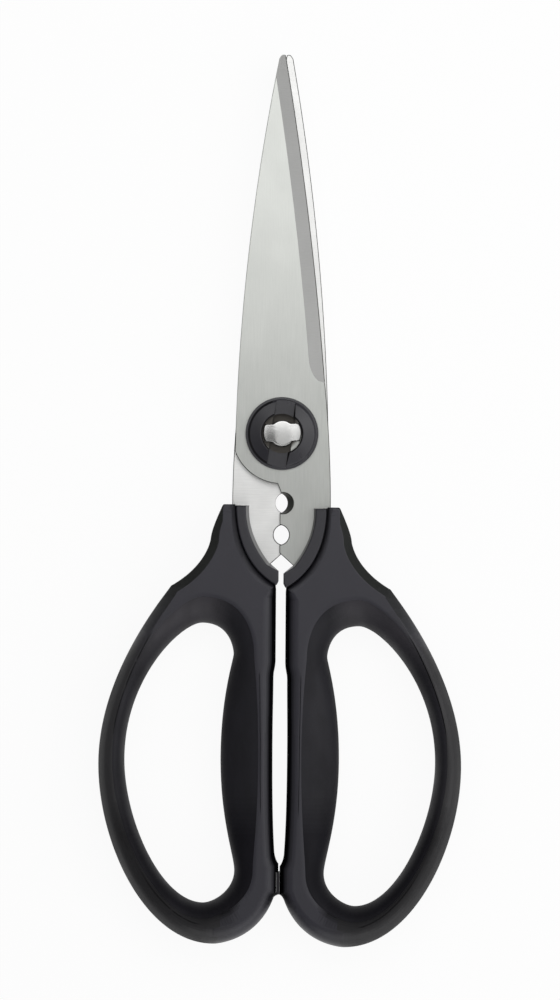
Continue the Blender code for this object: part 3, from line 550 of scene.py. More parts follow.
def turned_mesh(profile):
    """A solid of revolution about the z axis: (radius, height) from the top, down its outer side."""
    mesh = bpy.data.meshes.new("mesh")
    closed = min(radius for radius, height in profile) > 0
    count = len(profile)
    edges = [(i, (i + 1) % count) for i in range(count if closed else count - 1)]
    mesh.from_pydata([(radius, 0, height) for radius, height in profile], edges, [])
    obj = linked("turned", mesh)
    screw = obj.modifiers.new("turn", "SCREW")
    screw.steps = screw.render_steps = ROUND_STEPS
    screw.use_merge_vertices = True
    screw.merge_threshold = WELD
    return applied(obj)


def fillet(profile, radius, steps=4):
    """Rounds the corners of a closed profile of (radius, height) points."""
    points = [Vector(p) for p in profile]
    rounded = []
    for before, corner, after in zip(points[-1:] + points[:-1], points, points[1:] + points[:1]):
        reach = min(radius, (before - corner).length * FILLET_SHARE, (after - corner).length * FILLET_SHARE)
        start = corner + (before - corner).normalized() * reach
        end = corner + (after - corner).normalized() * reach
        for i in range(steps + 1):
            t = i / steps
            rounded.append(start * (1 - t) ** 2 + corner * (2 * t * (1 - t)) + end * t**2)
    return [(p.x, p.y) for p in rounded]


# Blade

def tang_outline(grow):
    """The part of the tang that the handle holds, with an even margin round it."""
    inner, outer = TANG_BAR_X[0] - grow, TANG_BAR_X[1] + grow
    wide = TANG_OUTER_X + grow
    end = -TANG_END_Y - grow
    radius = (outer - inner) / 2
    middle = (inner + outer) / 2
    points = [Vector((wide, -NECK_TOP_Y))]
    points += stretch((wide, -TANG_SHOULDER_Y), -90, (outer, -TANG_BAR_Y), -90, (0.35, 0.45), TANG_STEPS)
    points += arc((middle, end + radius), radius, 0, -pi, TANG_END_STEPS)
    return points


def crotch_points(grow):
    """From the bar's inner edge up the slope where the tangs part."""
    inner = TANG_BAR_X[0] - grow
    foot = -CROTCH_Y - (inner + TANG_LAP) * tan(CROTCH_SLOPE)
    lift = grow / cos(CROTCH_SLOPE)
    return [Vector((inner, foot - lift)), Vector((-TANG_LAP, -CROTCH_Y - lift))]


def blade_outline():
    tip_back = (-TIP_NOSE, BLADE_REACH - TIP_NOSE * TIP_FALL)
    tip_top = (-TIP_NOSE * TIP_TOP, BLADE_REACH)
    tip_edge = (TIP_LAND, BLADE_REACH - TIP_LAND)
    spine_foot_y = -sqrt(SHOULDER_RADIUS**2 - SPINE_FOOT_X**2)
    neck_y = -sqrt(SHOULDER_RADIUS**2 - NOTCH_NECK_X**2)
    points = bow((-SPINE_FOOT_X, spine_foot_y), tip_back, SPINE_BOW, BLADE_STEPS)
    points += stretch(tip_back, 58, tip_top, 0, (0.4, 0.4), TIP_STEPS[0])
    points += stretch(tip_top, 0, tip_edge, -80, (0.4, 0.4), TIP_STEPS[1])
    points += bow(tip_edge, EDGE_HEEL, EDGE_BOW, BLADE_STEPS)
    points += stretch(EDGE_HEEL, -84, (TANG_OUTER_X, -NECK_TOP_Y), -90, (0.3, 0.3), HEEL_STEPS)
    points += tang_outline(0)
    points += crotch_points(0)
    ledge = ((-TANG_LAP, -NOTCH_Y), (0, -NOTCH_Y), (0, -NOTCH_Y + NOTCH_RADIUS * NOTCH_LEDGE))
    points += [Vector(p) for p in ledge]
    start = atan2(neck_y, -NOTCH_NECK_X)
    end = atan2(spine_foot_y, -SPINE_FOOT_X)
    points += arc((0, 0), SHOULDER_RADIUS, start, end, LINE_STEPS)[:-1]
    return points


def bevel_wedge():
    """A wedge along the cutting edge, whose inner side curves out to the edge at the heel."""
    tip = Vector((TIP_LAND, BLADE_REACH - TIP_LAND))
    heel = Vector(EDGE_HEEL)
    edge = bow(heel, tip, -EDGE_BOW, BEVEL_STEPS, BEVEL_RUN)
    top = OUTER_FACE + OVERRUN
    rows = []
    for index, (point, right) in enumerate(zip(edge, inward(edge, closed=False))):
        run = min((point - heel).length / BEVEL_RUNOUT, 1)
        full = BEVEL_WIDTH * (1 - BEVEL_TAPER * index / len(edge))
        slope = (BLADE_THICKNESS - BEVEL_LAND) / full
        width = full * sqrt(1 - (1 - run) ** 2)
        honed = min(HONE_WIDTH, width / 2)
        inner, hone, outer = (point - right * inset for inset in (width, honed, -OVERRUN))
        floor = OUTER_FACE - (full - width) * slope
        hone_floor = OUTER_FACE - (full - honed) * slope
        outer_floor = hone_floor - (HONE_WIDTH + OVERRUN) * HONE_DROP / HONE_WIDTH
        rows.append([
            (*inner, top), (*inner, floor), (*hone, hone_floor), (*outer, outer_floor), (*outer, top),
        ])
    return solid_mesh(rows)


def notch_mesh(inner_x, outer_x, y, radius):
    """A round cutter through the blade, that may lean and flares at both faces to break the edge."""
    lean = (outer_x - inner_x) / BLADE_THICKNESS
    levels = []
    for height, grow in (
        (INNER_FACE - OVERRUN, NOTCH_FLARE + OVERRUN), (INNER_FACE + NOTCH_FLARE, 0),
        (OUTER_FACE - NOTCH_FLARE, 0), (OUTER_FACE + OVERRUN, NOTCH_FLARE + OVERRUN),
    ):
        x = inner_x + (height - INNER_FACE) * lean
        levels.append((height, circle((x, y), radius + grow)))
    return stack_mesh(levels)


def keyed_outline(half_width, end_radius, hub_radius, corner, steps=KEY_STEPS):
    """Two wings with round ends on a round hub, the wings along x."""
    end = asin(half_width / end_radius)
    quarter = arc((0, 0), end_radius, 0, end, steps)
    if corner:
        lift = half_width + corner
        foot = sqrt((hub_radius + corner) ** 2 - lift**2)
        hub = atan2(lift, foot)
        quarter += arc((foot, lift), corner, -pi / 2, hub - pi, steps)
    else:
        hub = asin(half_width / hub_radius)
    quarter += arc((0, 0), hub_radius, hub, pi / 2, steps)[1 if corner else 0:]
    half = quarter + [Vector((-p.x, p.y)) for p in reversed(quarter[:-1])]
    return half[:-1] + [-p for p in half[:-1]]


def blade_mesh(pivot_hole):
    """A blade with its tang, ground edge and notches."""
    body = plate_mesh([blade_outline(), pivot_hole], INNER_FACE, OUTER_FACE, BLADE_EDGE)
    upper = notch_mesh(-NOTCH_INNER_SHIFT, NOTCH_OUTER_SHIFT, -NOTCH_Y, NOTCH_RADIUS)
    lower = notch_mesh(-LOWER_NOTCH_SHIFT, -LOWER_NOTCH_SHIFT, -LOWER_NOTCH_Y, LOWER_NOTCH_RADIUS)
    return combined(body, "DIFFERENCE", bevel_wedge(), upper, lower)


# Pivot

def ring_mesh():
    base = OUTER_FACE + SEAT_GAP
    top = base + RING_HEIGHT
    flange = base + RING_FLANGE_HEIGHT
    profile = [
        (RING_BORE_RADIUS, top - RING_CHAMFER), (RING_BORE_RADIUS + RING_CHAMFER, top),
        (RING_CREST_RADIUS, top - RING_CREST_DROP), (RING_WALL_RADIUS, flange),
        (RING_RADIUS, flange), (RING_RADIUS, base), (RING_BORE_RADIUS, base),
    ]
    levels = []
    for rise in (-RING_SLOT_DEPTH, OVERRUN):
        near, far = (RING_SLOT_HALF + draft * rise / RING_SLOT_DEPTH for draft in RING_SLOT_DRAFTS)
        left, right = -RING_SLOT_REACH, RING_SLOT_REACH
        way = [Vector(p) for p in ((left, -near), (right, -near), (right, far), (left, far))]
        levels.append((top + rise, turn_points(way, SLOT_ANGLE)))
    way = stack_mesh(levels)
    return combined(turned_mesh(fillet(profile, RING_FILLET)), "DIFFERENCE", way)


def stud_mesh():
    """Shank, T-head and riveted foot, head up. The head's top falls a little towards the wings' ends."""
    head_low = OUTER_FACE + SEAT_GAP
    head_high = head_low + HEAD_THICKNESS
    head_middle = head_low + HEAD_THICKNESS / 2
    foot = -OUTER_FACE - SEAT_GAP
    outline = keyed_outline(WING_HALF_WIDTH, HEAD_RADIUS, SHANK_RADIUS, HEAD_FILLET)
    sides = inward(outline[::-1])[::-1]

    def rim(inset):
        return [p + side * inset for p, side in zip(outline, sides)]

    insets = [(HEAD_EDGE * (1 - sin(a)), HEAD_EDGE * (1 - cos(a))) for a in QUARTER]
    under = [[(*p, head_low + rise) for p in rim(inset)] for inset, rise in insets]
    over = [[(*p, head_high - drop) for p in rim(inset)] for drop, inset in insets]
    over += [[(p.x * share, p.y * share, head_high) for p in rim(HEAD_EDGE)] for share in HEAD_RINGS]
    for row in over:
        for i, (x, y, z) in enumerate(row):
            bend = ramp(abs(x), HEAD_BEND, HEAD_RADIUS)
            dip = HEAD_DIP * bend**2 * (3 - 2 * bend) + HUB_DIP * (y / SHANK_RADIUS) ** 2
            row[i] = (x, y, z - dip)
    shifted = [[(x + HEAD_SHIFT[0], y + HEAD_SHIFT[1], z) for x, y, z in row] for row in under + over]
    profile = [(0, head_middle), (SHANK_RADIUS, head_middle), (SHANK_RADIUS, foot), (RIVET_RADIUS, foot)]
    for a in (radians(degrees) for degrees in range(0, 90, 10)):
        height = RIVET_HEIGHT * (RIVET_RIM + (1 - RIVET_RIM) * sin(a))
        profile.append((RIVET_RADIUS * cos(a), foot - height))
    profile.append((0, foot - RIVET_HEIGHT))
    return combined(solid_mesh(shifted), "UNION", turned_mesh(profile))


# Collar

def groove_points(grow, steps=LINE_STEPS):
    """The line where collar and handle body meet, from its top end, moved out from the steel by grow."""
    top = (GROOVE_TOP_X, -NECK_TOP_Y)
    points = stretch(top, -90, GROOVE_END, -150, (0.3, 0.42), steps) + [Vector(GROOVE_END)]
    return [p - side * grow for p, side in zip(points, inward(points, closed=False))]


def collar_outline(steel_inset, edge_inset):
    """Plan of the collar. Its steel side moves back by one inset and its other sides by the other."""
    top = (COLLAR_STEEL_X, -NECK_TOP_Y - COLLAR_TOP_DROP)
    steel = stretch(top, -86, COLLAR_FOOT, -128, (0.3, 0.4), COLLAR_STEPS)
    ends = [Vector(p) for p in (COLLAR_FOOT, *COLLAR_END)]
    groove = list(reversed(groove_points(-GROOVE_SEAM)))
    groove[-1].y -= COLLAR_TOP_DROP
    points = steel + ends + groove
    insets = [steel_inset] * (len(steel) + 1) + [edge_inset] * (len(points) - len(steel) - 1)
    moved = [p - side * inset for p, side, inset in zip(points, inward(points), insets)]
    return [points[0] + Vector((steel_inset, -edge_inset))] + moved[1:]


def collar_mesh(drop):
    """The collar on both sides of the tang."""
    crest = FACE_HALF - COLLAR_SINK
    levels = []
    for sign, face in ((-1, INNER_FACE), (1, OUTER_FACE)):
        draft = (crest - sign * face) * tan(COLLAR_DRAFT)
        rounded = [
            (sign * (crest - COLLAR_ROUND * (1 - sin(a))), draft + COLLAR_ROUND * (1 - cos(a)),
             COLLAR_ROUND * (1 - cos(a)))
            for a in QUARTER
        ]
        half = [(face, 0, 0)] + rounded
        levels += half[::-1] if sign < 0 else half
    levels = [(z, drop_points(collar_outline(steel, edge), drop)) for z, steel, edge in levels]
    reach = FIT_GAP + SKIRT_WALL
    flange = plate_mesh([skirt_outline(drop, 0)], INNER_FACE - reach, OUTER_FACE + reach)
    whole = combined(stack_mesh(levels), "UNION", flange)
    return combined(whole, "DIFFERENCE", tang_pocket())


def skirt_outline(drop, grow):
    """The insert's hidden flange: a band along the groove, from inside the collar to inside the neck."""
    line = groove_points(0, SKIRT_STEPS)
    sides = inward(line, closed=False)
    count = len(line)
    narrowing = SKIRT_END_REACH - SKIRT_REACH
    widening = SKIRT_TOP_REACH - SKIRT_REACH
    reaches = [
        SKIRT_REACH + narrowing * max(0, 2 * i / count - 1) + widening * max(0, 1 - 3 * i / count)
        for i in range(count)
    ]
    outer = [p - side * (reach + grow) for p, side, reach in zip(line, sides, reaches)]
    inner = [p + side * SKIRT_ROOT for p, side in zip(line, sides)]
    for point in (outer[0], inner[0]):
        point.y += grow - SKIRT_TOP_DROP
    outer[-1].x = max(outer[-1].x, GAP_TOP[0] + SKIRT_END_REACH - grow)
    return drop_points(outer + list(reversed(inner)), drop)


def tang_pocket():
    """The room for the tang in the handle."""
    mouth = [Vector((-TANG_LAP, 0)), Vector((TANG_OUTER_X + FIT_GAP, 0))]
    outline = mouth + tang_outline(FIT_GAP)[1:] + crotch_points(FIT_GAP)
    return plate_mesh([outline], INNER_FACE - FIT_GAP, OUTER_FACE + FIT_GAP)


def flange_pocket(drop):
    reach = FIT_GAP + SKIRT_WALL + FIT_GAP
    return plate_mesh([skirt_outline(drop, FIT_GAP)], INNER_FACE - reach, OUTER_FACE + reach)


# Handle body and cushion

def hole_outline(widths):
    """The finger hole with each of its six knots pushed out by a width, clockwise from the top."""
    top, outer, bottom, lower, swell, upper = widths
    swell_x = GAP_WIDE[0] + INNER_LIMB
    knots = [
        ((HOLE_TOP[0], HOLE_TOP[1] + top), 0),
        ((HALF_SPREAD - OUTER_LIMB + outer, -HOLE_WIDEST_Y), -90),
        ((HOLE_END_X, -HANDLE_REACH + BOTTOM_LIMB - bottom), 180),
        ((swell_x - LOWER_RELIEF - lower, -LOWER_RELIEF_Y), 90),
        ((swell_x - swell, -SWELL_Y), 90),
        ((swell_x - UPPER_RELIEF - upper, -UPPER_RELIEF_Y), 90),
    ]
    points = []
    for knot, after, pull in zip(knots, knots[1:] + knots[:1], HOLE_PULLS):
        points += stretch(*knot, *after, pull, KNOT_STEPS)
    return points


def rim_lines():
    """The lining's edge on the face, and the line where the face begins to fall to it."""
    return hole_outline(LINER_WIDTHS), hole_outline([a + b for a, b in zip(LINER_WIDTHS, RIM_WIDTHS)])


def body_stations(drop):
    """Places round the handle body with the ways inwards and the edges, clockwise from the top of the groove.

    The nib's foot stays level with the other half's, whatever the drop.
    """
    groove = groove_points(0)
    corner = NECK_CORNER_RADIUS
    # Each knot has its heading, that at the next one, the pulls, the steps to the next, and its edge
    knots = [
        (groove[0], 0, 0, (0.3, 0.3), 1, SQUARE_EDGE),
        ((NECK_CORNER_X, -NECK_TOP_Y), 0, -66, (0.4, 0.4), 2, SQUARE_EDGE),
        ((NECK_CORNER_X + corner, -NECK_TOP_Y - corner), -66, -68, (0.3, 0.3), 1, SQUARE_EDGE),
        (NECK_FLARE, -68, -84, (0.4, 0.3), 3, FLARE_EDGE),
        (NECK_WAIST, -84, -30, (0.02, 0.67), 8, NECK_EDGE),
        (SHOULDER, -57, -90, (0.06, 0.47), 12, NECK_EDGE),
        ((HALF_SPREAD, -WIDEST_Y), -90, 180, (0.37, 0.32), 12, LIMB_EDGE),
        ((LOOP_END_X, -HANDLE_REACH), 180, 110, (0.02, 0.63), 8, BOTTOM_EDGE),
        (NIB_FOOT, 115, 150, (0.4, 0.4), 2, FOOT_EDGE),
        ((NIB_HALF_GAP, -NIB_BOTTOM_Y + drop), 90, 90, (0.3, 0.3), 3, NIB_EDGE),
        ((NIB_HALF_GAP, -NIB_TOP_Y), 50, 84, (0.3, 0.3), 2, NIB_EDGE),
        (GAP_LOW, 86, 90, (0.3, 0.3), 4, GAP_EDGE),
        (GAP_WIDE, 90, 90, (0.3, 0.3), 2, GAP_EDGE),
        (GAP_STEP, 90, 90, (0.4, 0.4), 1, GAP_TOP_EDGE),
        (GAP_TOP, 90, 90, (0.3, 0.3), 2, GAP_TOP_EDGE),
        ((GAP_TOP[0], -GROOVE_FOOT_Y), 90, 90, (0.3, 0.3), 2, GAP_TOP_EDGE),
    ]
    head = Vector((GAP_TOP[0], GROOVE_END[1] - GROOVE_LEAD))
    runs = [
        (stretch(start, leave, end, arrive, pulls, steps * FINENESS), edge)
        for (start, leave, arrive, pulls, steps, edge), (end, *_) in zip(knots, knots[1:] + [(head,)])
    ]
    runs += [
        ([head], GAP_HEAD_EDGE),
        (groove[:-GROOVE_END_RUN:-1], GROOVE_END_EDGE),
        (groove[-GROOVE_END_RUN:0:-1], GROOVE_EDGE),
    ]
    places, edges = [], []
    for (run, edge), (_, next_edge) in zip(runs, runs[1:] + [([], SQUARE_EDGE)]):
        for i, point in enumerate(run):
            places.append(point)
            edges.append([a + (b - a) * i / len(run) for a, b in zip(edge, next_edge)])
    return list(zip(places, inward(places), edges))


def edge_profile(width, depth, flat, shoulder):
    """The turn from the side wall to the face, as (way in, way down), its ends eased into both."""
    points = [(0, depth + WALL_LEAD)]
    for share in (step / EDGE_STEPS for step in range(EDGE_STEPS + 1)):
        angle = share * pi / 2
        way_in = (1 - flat) * (1 - cos(angle)) + flat * share
        rise = (1 - flat) * sin(angle) + flat * share
        points.append((width * way_in, depth * (1 - rise)))
    points += [(width + shoulder * step / SHOULDER_STEPS, 0) for step in range(1, SHOULDER_STEPS + 1)]
    eased = [
        tuple((a + 2 * b + c) / 4 for a, b, c in zip(*near))
        for near in zip(points, points[1:], points[2:])
    ]
    return [points[0], *eased, points[-1]]


def untangled(row, outline):
    """A row moved in from the outline, its points that ran past a corner's own point pulled back to it."""
    count = len(row)
    turns = []
    for i, point in enumerate(outline):
        arrive, leave = point - outline[i - 1], outline[(i + 1) % count] - point
        turns.append((arrive.angle_signed(leave), i))
    for turn, corner in sorted(turns, reverse=True):
        if turn < CORNER_TURN:
            break
        for step in (1, -1):
            i = (corner + step) % count
            while (row[i] - row[corner]).dot(outline[(i + step) % count] - outline[i]) <= 0:
                row[i] = row[corner].copy()
                i = (i + step) % count
    return row


def rim_slope(liner, eased, position):
    """How steeply the face falls at the cushion, and the rim's width there."""
    width = (place_on(eased, position) - place_on(liner, position)).length
    return RIM_SLOPE * min(width / RIM_FULL, 1), width


def add_section(rows, rim, tip, top, slope, drop):
    """A point for each row of a crowned section, from its front rim round the tip to the back."""
    share = slope * (tip - rim).length / top
    for i, row in enumerate(rows):
        turn = pi * i / (len(rows) - 1)
        place = rim.lerp(tip, sin(turn))
        height = top * ((1 - share) * abs(cos(turn)) + share * (1 - sin(turn)))
        row.append((place.x, place.y - drop, copysign(height, cos(turn))))


def handle_mesh(drop):
    """Body of the handle: its outer side, the nose that the cushion wraps, and the faces between them."""
    stations = body_stations(drop)
    outline = [point for point, side, edge in stations]
    profiles = [edge_profile(*edge) for point, side, edge in stations]
    rows = []
    for steps in zip(*profiles):
        row = [point + side * way_in for (point, side, edge), (way_in, down) in zip(stations, steps)]
        heights = [FACE_HALF - down for way_in, down in steps]
        rows.append([(p.x, p.y - drop, z) for p, z in zip(untangled(row, outline), heights)])
    back = [[(x, y, -z) for x, y, z in row] for row in rows]
    liner, eased = rim_lines()
    nose = hole_outline([CUSHION_WALL] * 6)
    front = [[] for _ in range(RIM_STEPS + 2)]
    wrapped = [[] for _ in range(2 * NOSE_STEPS + 1)]
    for position in even_positions(liner, LINING_STATIONS):
        rim, outer, tip = (place_on(line, position) for line in (liner, eased, nose))
        slope, width = rim_slope(liner, eased, position)
        fall = slope * width / 2
        for step, row in enumerate(front[:-1]):
            share = step / RIM_STEPS
            place = outer.lerp(rim, share)
            row.append((place.x, place.y - drop, FACE_HALF - fall * share**2))
        front[-1].append((rim.x, rim.y - drop, FACE_HALF - fall - RIM_ROUND))
        add_section(wrapped, rim, tip, FACE_HALF - fall - CUSHION_EDGE, slope, drop)
    behind = [[(x, y, -z) for x, y, z in row] for row in reversed(front)]
    bm = bmesh.new()
    lofted(bm, rows[::-1] + back)
    lofted(bm, front + wrapped + behind)
    bmesh.ops.remove_doubles(bm, verts=bm.verts, dist=WELD)
    for side in (1, -1):
        rims = [edge for edge in bm.edges if edge.is_boundary and edge.verts[0].co.z * side > 0]
        bmesh.ops.triangle_fill(bm, edges=rims, use_beauty=True)
    return finish_mesh(bm)


def cushion_mesh(drop):
    """Soft lining of the finger hole, a crowned channel that wraps the body's nose."""
    seam = hole_outline([width - SEAM for width in LINER_WIDTHS])
    liner, eased = rim_lines()
    nose = hole_outline([CUSHION_WALL - FIT_GAP] * 6)
    hole = hole_outline([0] * 6)
    outside, inside = ([[] for _ in range(2 * CUSHION_STEPS + 1)] for _ in range(2))
    for position in even_positions(hole, LINING_STATIONS):
        rim, edge, back = (place_on(outline, position) for outline in (seam, hole, nose))
        slope, width = rim_slope(liner, eased, position)
        crown = FACE_HALF - slope * width / 2 - CUSHION_SINK
        seat = crown + CUSHION_SINK - CUSHION_EDGE + FIT_GAP
        add_section(outside, rim, edge, crown, slope, drop)
        add_section(inside, rim, back, seat, slope, drop)
    bm = bmesh.new()
    lofted(bm, outside + inside[::-1], closed=True)
    return finish_mesh(bm)


def pad_mesh(grow, edge):
    """Stop pad in the rear half's nib, or with grow its seat."""
    left = -NIB_HALF_GAP + PAD_CONTACT - grow
    right = NIB_HALF_GAP + PAD_SEAT_DEPTH + grow
    low, high = -PAD_BOTTOM_Y - grow, -PAD_TOP_Y + grow
    outline = [Vector(p) for p in ((left, low), (left, high), (right, high), (right, low))]
    half = PAD_HEIGHT / 2 + grow
    return plate_mesh([outline], -half, half, edge, 3)


# Materials

MIX_FIRST, MIX_SECOND, MIX_RESULT = 6, 7, 2  # the colour sockets of a mix node


def node(tree, kind, links=(), output=0, **settings):
    """A shader node's output. links are (input, value or another output), settings its properties."""
    made = tree.nodes.new("ShaderNode" + kind)
    for name, value in settings.items():
        setattr(made, name, value)
    for name, value in links:
        if isinstance(value, bpy.types.NodeSocket):
            tree.links.new(value, made.inputs[name])
        else:
            made.inputs[name].default_value = value
    return made.outputs[output]


def material(name, colour, roughness, specular=0.5, metallic=0.0):
    made = bpy.data.materials.new(name)
    made.use_nodes = True
    shader = made.node_tree.nodes["Principled BSDF"]
    for socket, value in (
        ("Base Color", (*colour, 1)), ("Roughness", roughness), ("Metallic", metallic),
        ("Specular IOR Level", specular),
    ):
        shader.inputs[socket].default_value = value
    return made, made.node_tree, shader


def scaled_noise(tree, scale, detail=3.0, roughness=0.5):
    """Noise stretched by a scale for each axis, in object coordinates."""
    place = node(tree, "TexCoord", output="Object")
    mapped = node(tree, "Mapping", [("Vector", place), ("Scale", scale)])
    return node(
        tree, "TexNoise",
        [("Vector", mapped), ("Scale", 1.0), ("Detail", detail), ("Roughness", roughness)])


def spread(tree, noise, middle, reach):
    """A noise value, which keeps near a half, spread to either side of a middle."""
    ends = zip(("From Min", "From Max", "To Min", "To Max"), (*NOISE_RANGE, middle - reach, middle + reach))
    return node(tree, "MapRange", [("Value", noise), *ends])


def shaded(tree, colour, shade):
    return node(tree, "VectorMath", [(0, colour), ("Scale", shade)], operation="SCALE")


def give_grain(tree, shader, colour, fine, contrast, depth, broad, cloud):
    """Shades the colour by a fine and a broad noise, raises the fine one, and returns the shade."""
    shades = [(0, spread(tree, fine, 1, contrast)), (1, spread(tree, broad, 1, cloud))]
    shade = node(tree, "Math", shades, operation="MULTIPLY")
    bump = node(tree, "Bump", [("Height", fine), ("Strength", 1.0), ("Distance", depth)])
    tree.links.new(shaded(tree, colour, shade), shader.inputs["Base Color"])
    tree.links.new(bump, shader.inputs["Normal"])
    return shade


def give_grease_and_shade(tree, shader, colour, shade, centre, radius):
    """A round dark place of old grease and painted shade, the same all through the piece's height."""
    place = node(tree, "TexCoord", output="Object")
    away = node(tree, "VectorMath", [(0, place), (1, centre)], operation="SUBTRACT")
    flat = node(tree, "VectorMath", [(0, away), (1, (1, 1, 0))], operation="MULTIPLY")
    length = node(tree, "VectorMath", [(0, flat)], output="Value", operation="LENGTH")
    rim, core = (radius * share for share in GREASE_AND_SHADE_RIM)
    share = node(tree, "MapRange", [("Value", length), ("From Min", rim), ("From Max", core)])
    clean, dark = shaded(tree, colour, shade), shaded(tree, GREASE_AND_SHADE, shade)
    mixed = node(
        tree, "Mix", [("Factor", share), (MIX_FIRST, clean), (MIX_SECOND, dark)], MIX_RESULT,
        data_type="RGBA")
    tree.links.new(mixed, shader.inputs["Base Color"])


def brushed_steel(
        name, colour, scale, roughness, anisotropy, tangent, depth, contrast, cloud=0.03, grease_and_shade=None):
    """Steel with fine lines along one way and a faint cloudiness."""
    made, tree, shader = material(name, colour, roughness, metallic=1.0)
    lines = scaled_noise(tree, scale, roughness=LINE_ROUGHNESS)
    broad = scaled_noise(tree, STEEL_CLOUDS)
    shade = give_grain(tree, shader, colour, lines, contrast, depth, broad, cloud)
    if grease_and_shade:
        give_grease_and_shade(tree, shader, colour, shade, *grease_and_shade)
    tree.links.new(spread(tree, lines, roughness, STEEL_WEAR), shader.inputs["Roughness"])
    shader.inputs["Anisotropic"].default_value = anisotropy
    way = node(tree, "CombineXYZ", list(zip("XYZ", tangent)))
    turned = node(
        tree, "VectorTransform", [("Vector", way)],
        vector_type="VECTOR", convert_from="OBJECT", convert_to="WORLD")
    tree.links.new(turned, shader.inputs["Tangent"])
    return made


def moulded(name, colour, roughness, specular, grain, depth, mottle=0.05, wear=0.04):
    """Moulded plastic or rubber: a fine grain in its surface, a little in its shade."""
    made, tree, shader = material(name, colour, roughness, specular)
    fine = scaled_noise(tree, (grain, grain, grain), GRAIN_DETAIL)
    broad = scaled_noise(tree, MOULD_CLOUDS)
    give_grain(tree, shader, colour, fine, GRAIN_CONTRAST, depth, broad, mottle)
    tree.links.new(spread(tree, broad, roughness, -wear), shader.inputs["Roughness"])
    return made


def stepped(name, first, last, *grain):
    """Moulded finishes in even steps, from the one after the first to the last. The steps of painted shade on
    the handle and the lining are made by it.
    """
    made = []
    for step in range(1, FINISHES + 1):
        finish = (a + (b - a) * step / FINISHES for a, b in zip(first, last))
        made.append(moulded(f"{name} {step}", *finish, *grain))
    return made


# Where each finish lies

CHAMFER, LIMB, GAP, SIDE = range(4)  # kinds of the handle's painted shade, in the order of their steps


def handle_plastics():
    """The face's finish, then the steps of painted shade from it to chamfer, limb and gap, and those from
    limb to side.
    """
    made = [moulded("handle plastic", *FACE_FINISH, *HANDLE_GRAIN)]
    for name, first, last in (
        ("chamfer", FACE_FINISH, CHAMFER_SHADE), ("limb", FACE_FINISH, LIMB_SHADE),
        ("gap", FACE_FINISH, GAP_SHADE), ("side", LIMB_SHADE, SIDE_SHADE),
    ):
        made += stepped(f"handle plastic {name}", first, last, *HANDLE_GRAIN, EDGE_MOTTLE)
    return made


def lining_rubbers():
    """The plain rubber, then the steps of painted shade from it to dark, and the steps from it to the lighter
    top of the hole.
    """
    grain = (*RUBBER_GRAIN, *RUBBER_MOTTLE)
    lining_shade = stepped("soft rubber", RUBBER_FINISH, RUBBER_SHADE, *grain)
    lighter_top = stepped("rubbed rubber", RUBBER_FINISH, TOP_LINING_FINISH, *grain)
    return [moulded("soft rubber 0", *RUBBER_FINISH, *grain), *lining_shade, *lighter_top]


def points_tree(points):
    """For the distance from a place in plan to the nearest of these points."""
    tree = KDTree(len(points))
    for i, point in enumerate(points):
        tree.insert(point.to_3d(), i)
    tree.balance()
    return tree


def handle_painted_shade(x, y, tilt, to_groove, to_lining):
    """Kind of painted shade at a place on the handle body, and how far it has come there."""
    lip = ramp(to_groove, LIP_REACH, 0) * (y > -GROOVE_FOOT_Y)
    at_gap = x < GAP_SIDE and NIB_RUN_Y[0] < y < GROOVE_END[1]
    if at_gap or lip:
        return GAP, max(lip, ramp(tilt, *GAP_TILTS) * ramp(y, *NIB_RUN_Y) * at_gap)
    limb = ramp(y, *LIMB_RUN_Y) * ramp(x, *LIMB_RUN_X)
    hollow = ramp(to_lining, HOLLOW_REACH, 0) * ramp(x, *HOLLOW_RUN_X) * ramp(y, *BOTTOM_SHADE_RUN_Y)
    if hollow > HOLLOW_LEAST and tilt > SIDE_TILTS[0]:
        return (SIDE, hollow) if x > HOLLOW_LIMB_X else (GAP, HOLLOW_SHARE * hollow)
    if limb > SIDE_LEAST_LIMB and tilt < SIDE_TILTS[0]:
        steep = ramp(tilt, *SIDE_TILTS) * ramp(tilt, 0, CHAMFER_TILTS[0])
        return SIDE, steep * ramp(limb, SIDE_LEAST_LIMB, 1)
    chamfer = ramp(y, *CHAMFER_RUN_Y) * (CHAMFER_TILTS[0] < tilt < CHAMFER_TILTS[1])
    return (CHAMFER, chamfer) if chamfer > limb and x > NECK_CORNER_X else (LIMB, limb)


def shade_handle(mesh, drop):
    groove = points_tree(drop_points(groove_points(0), drop))
    lining = points_tree(drop_points(hole_outline(LINER_WIDTHS), drop))
    for face in mesh.polygons:
        x, y, _ = face.center
        distances = (line.find((x, y, 0))[2] for line in (groove, lining))
        kind, share = handle_painted_shade(x, y, abs(face.normal.z), *distances)
        step = round(FINISHES * share)
        start = (LIMB + 1) * FINISHES if kind == SIDE else 0  # the side's steps start at the limb's last
        face.material_index = kind * FINISHES + step if step else start


def shade_lining(mesh):
    for face in mesh.polygons:
        x, y, _ = face.center
        lining_shade = max(ramp(y, *BOTTOM_SHADE_RUN_Y), ramp(abs(face.normal.z), *SIDE_TILTS))
        lighter_top = ramp(y, *TOP_LINING_RUN_Y) * ramp(x, *TOP_LINING_RUN_X)
        step = round(FINISHES * (lighter_top - lining_shade))
        face.material_index = FINISHES + step if step > 0 else -step


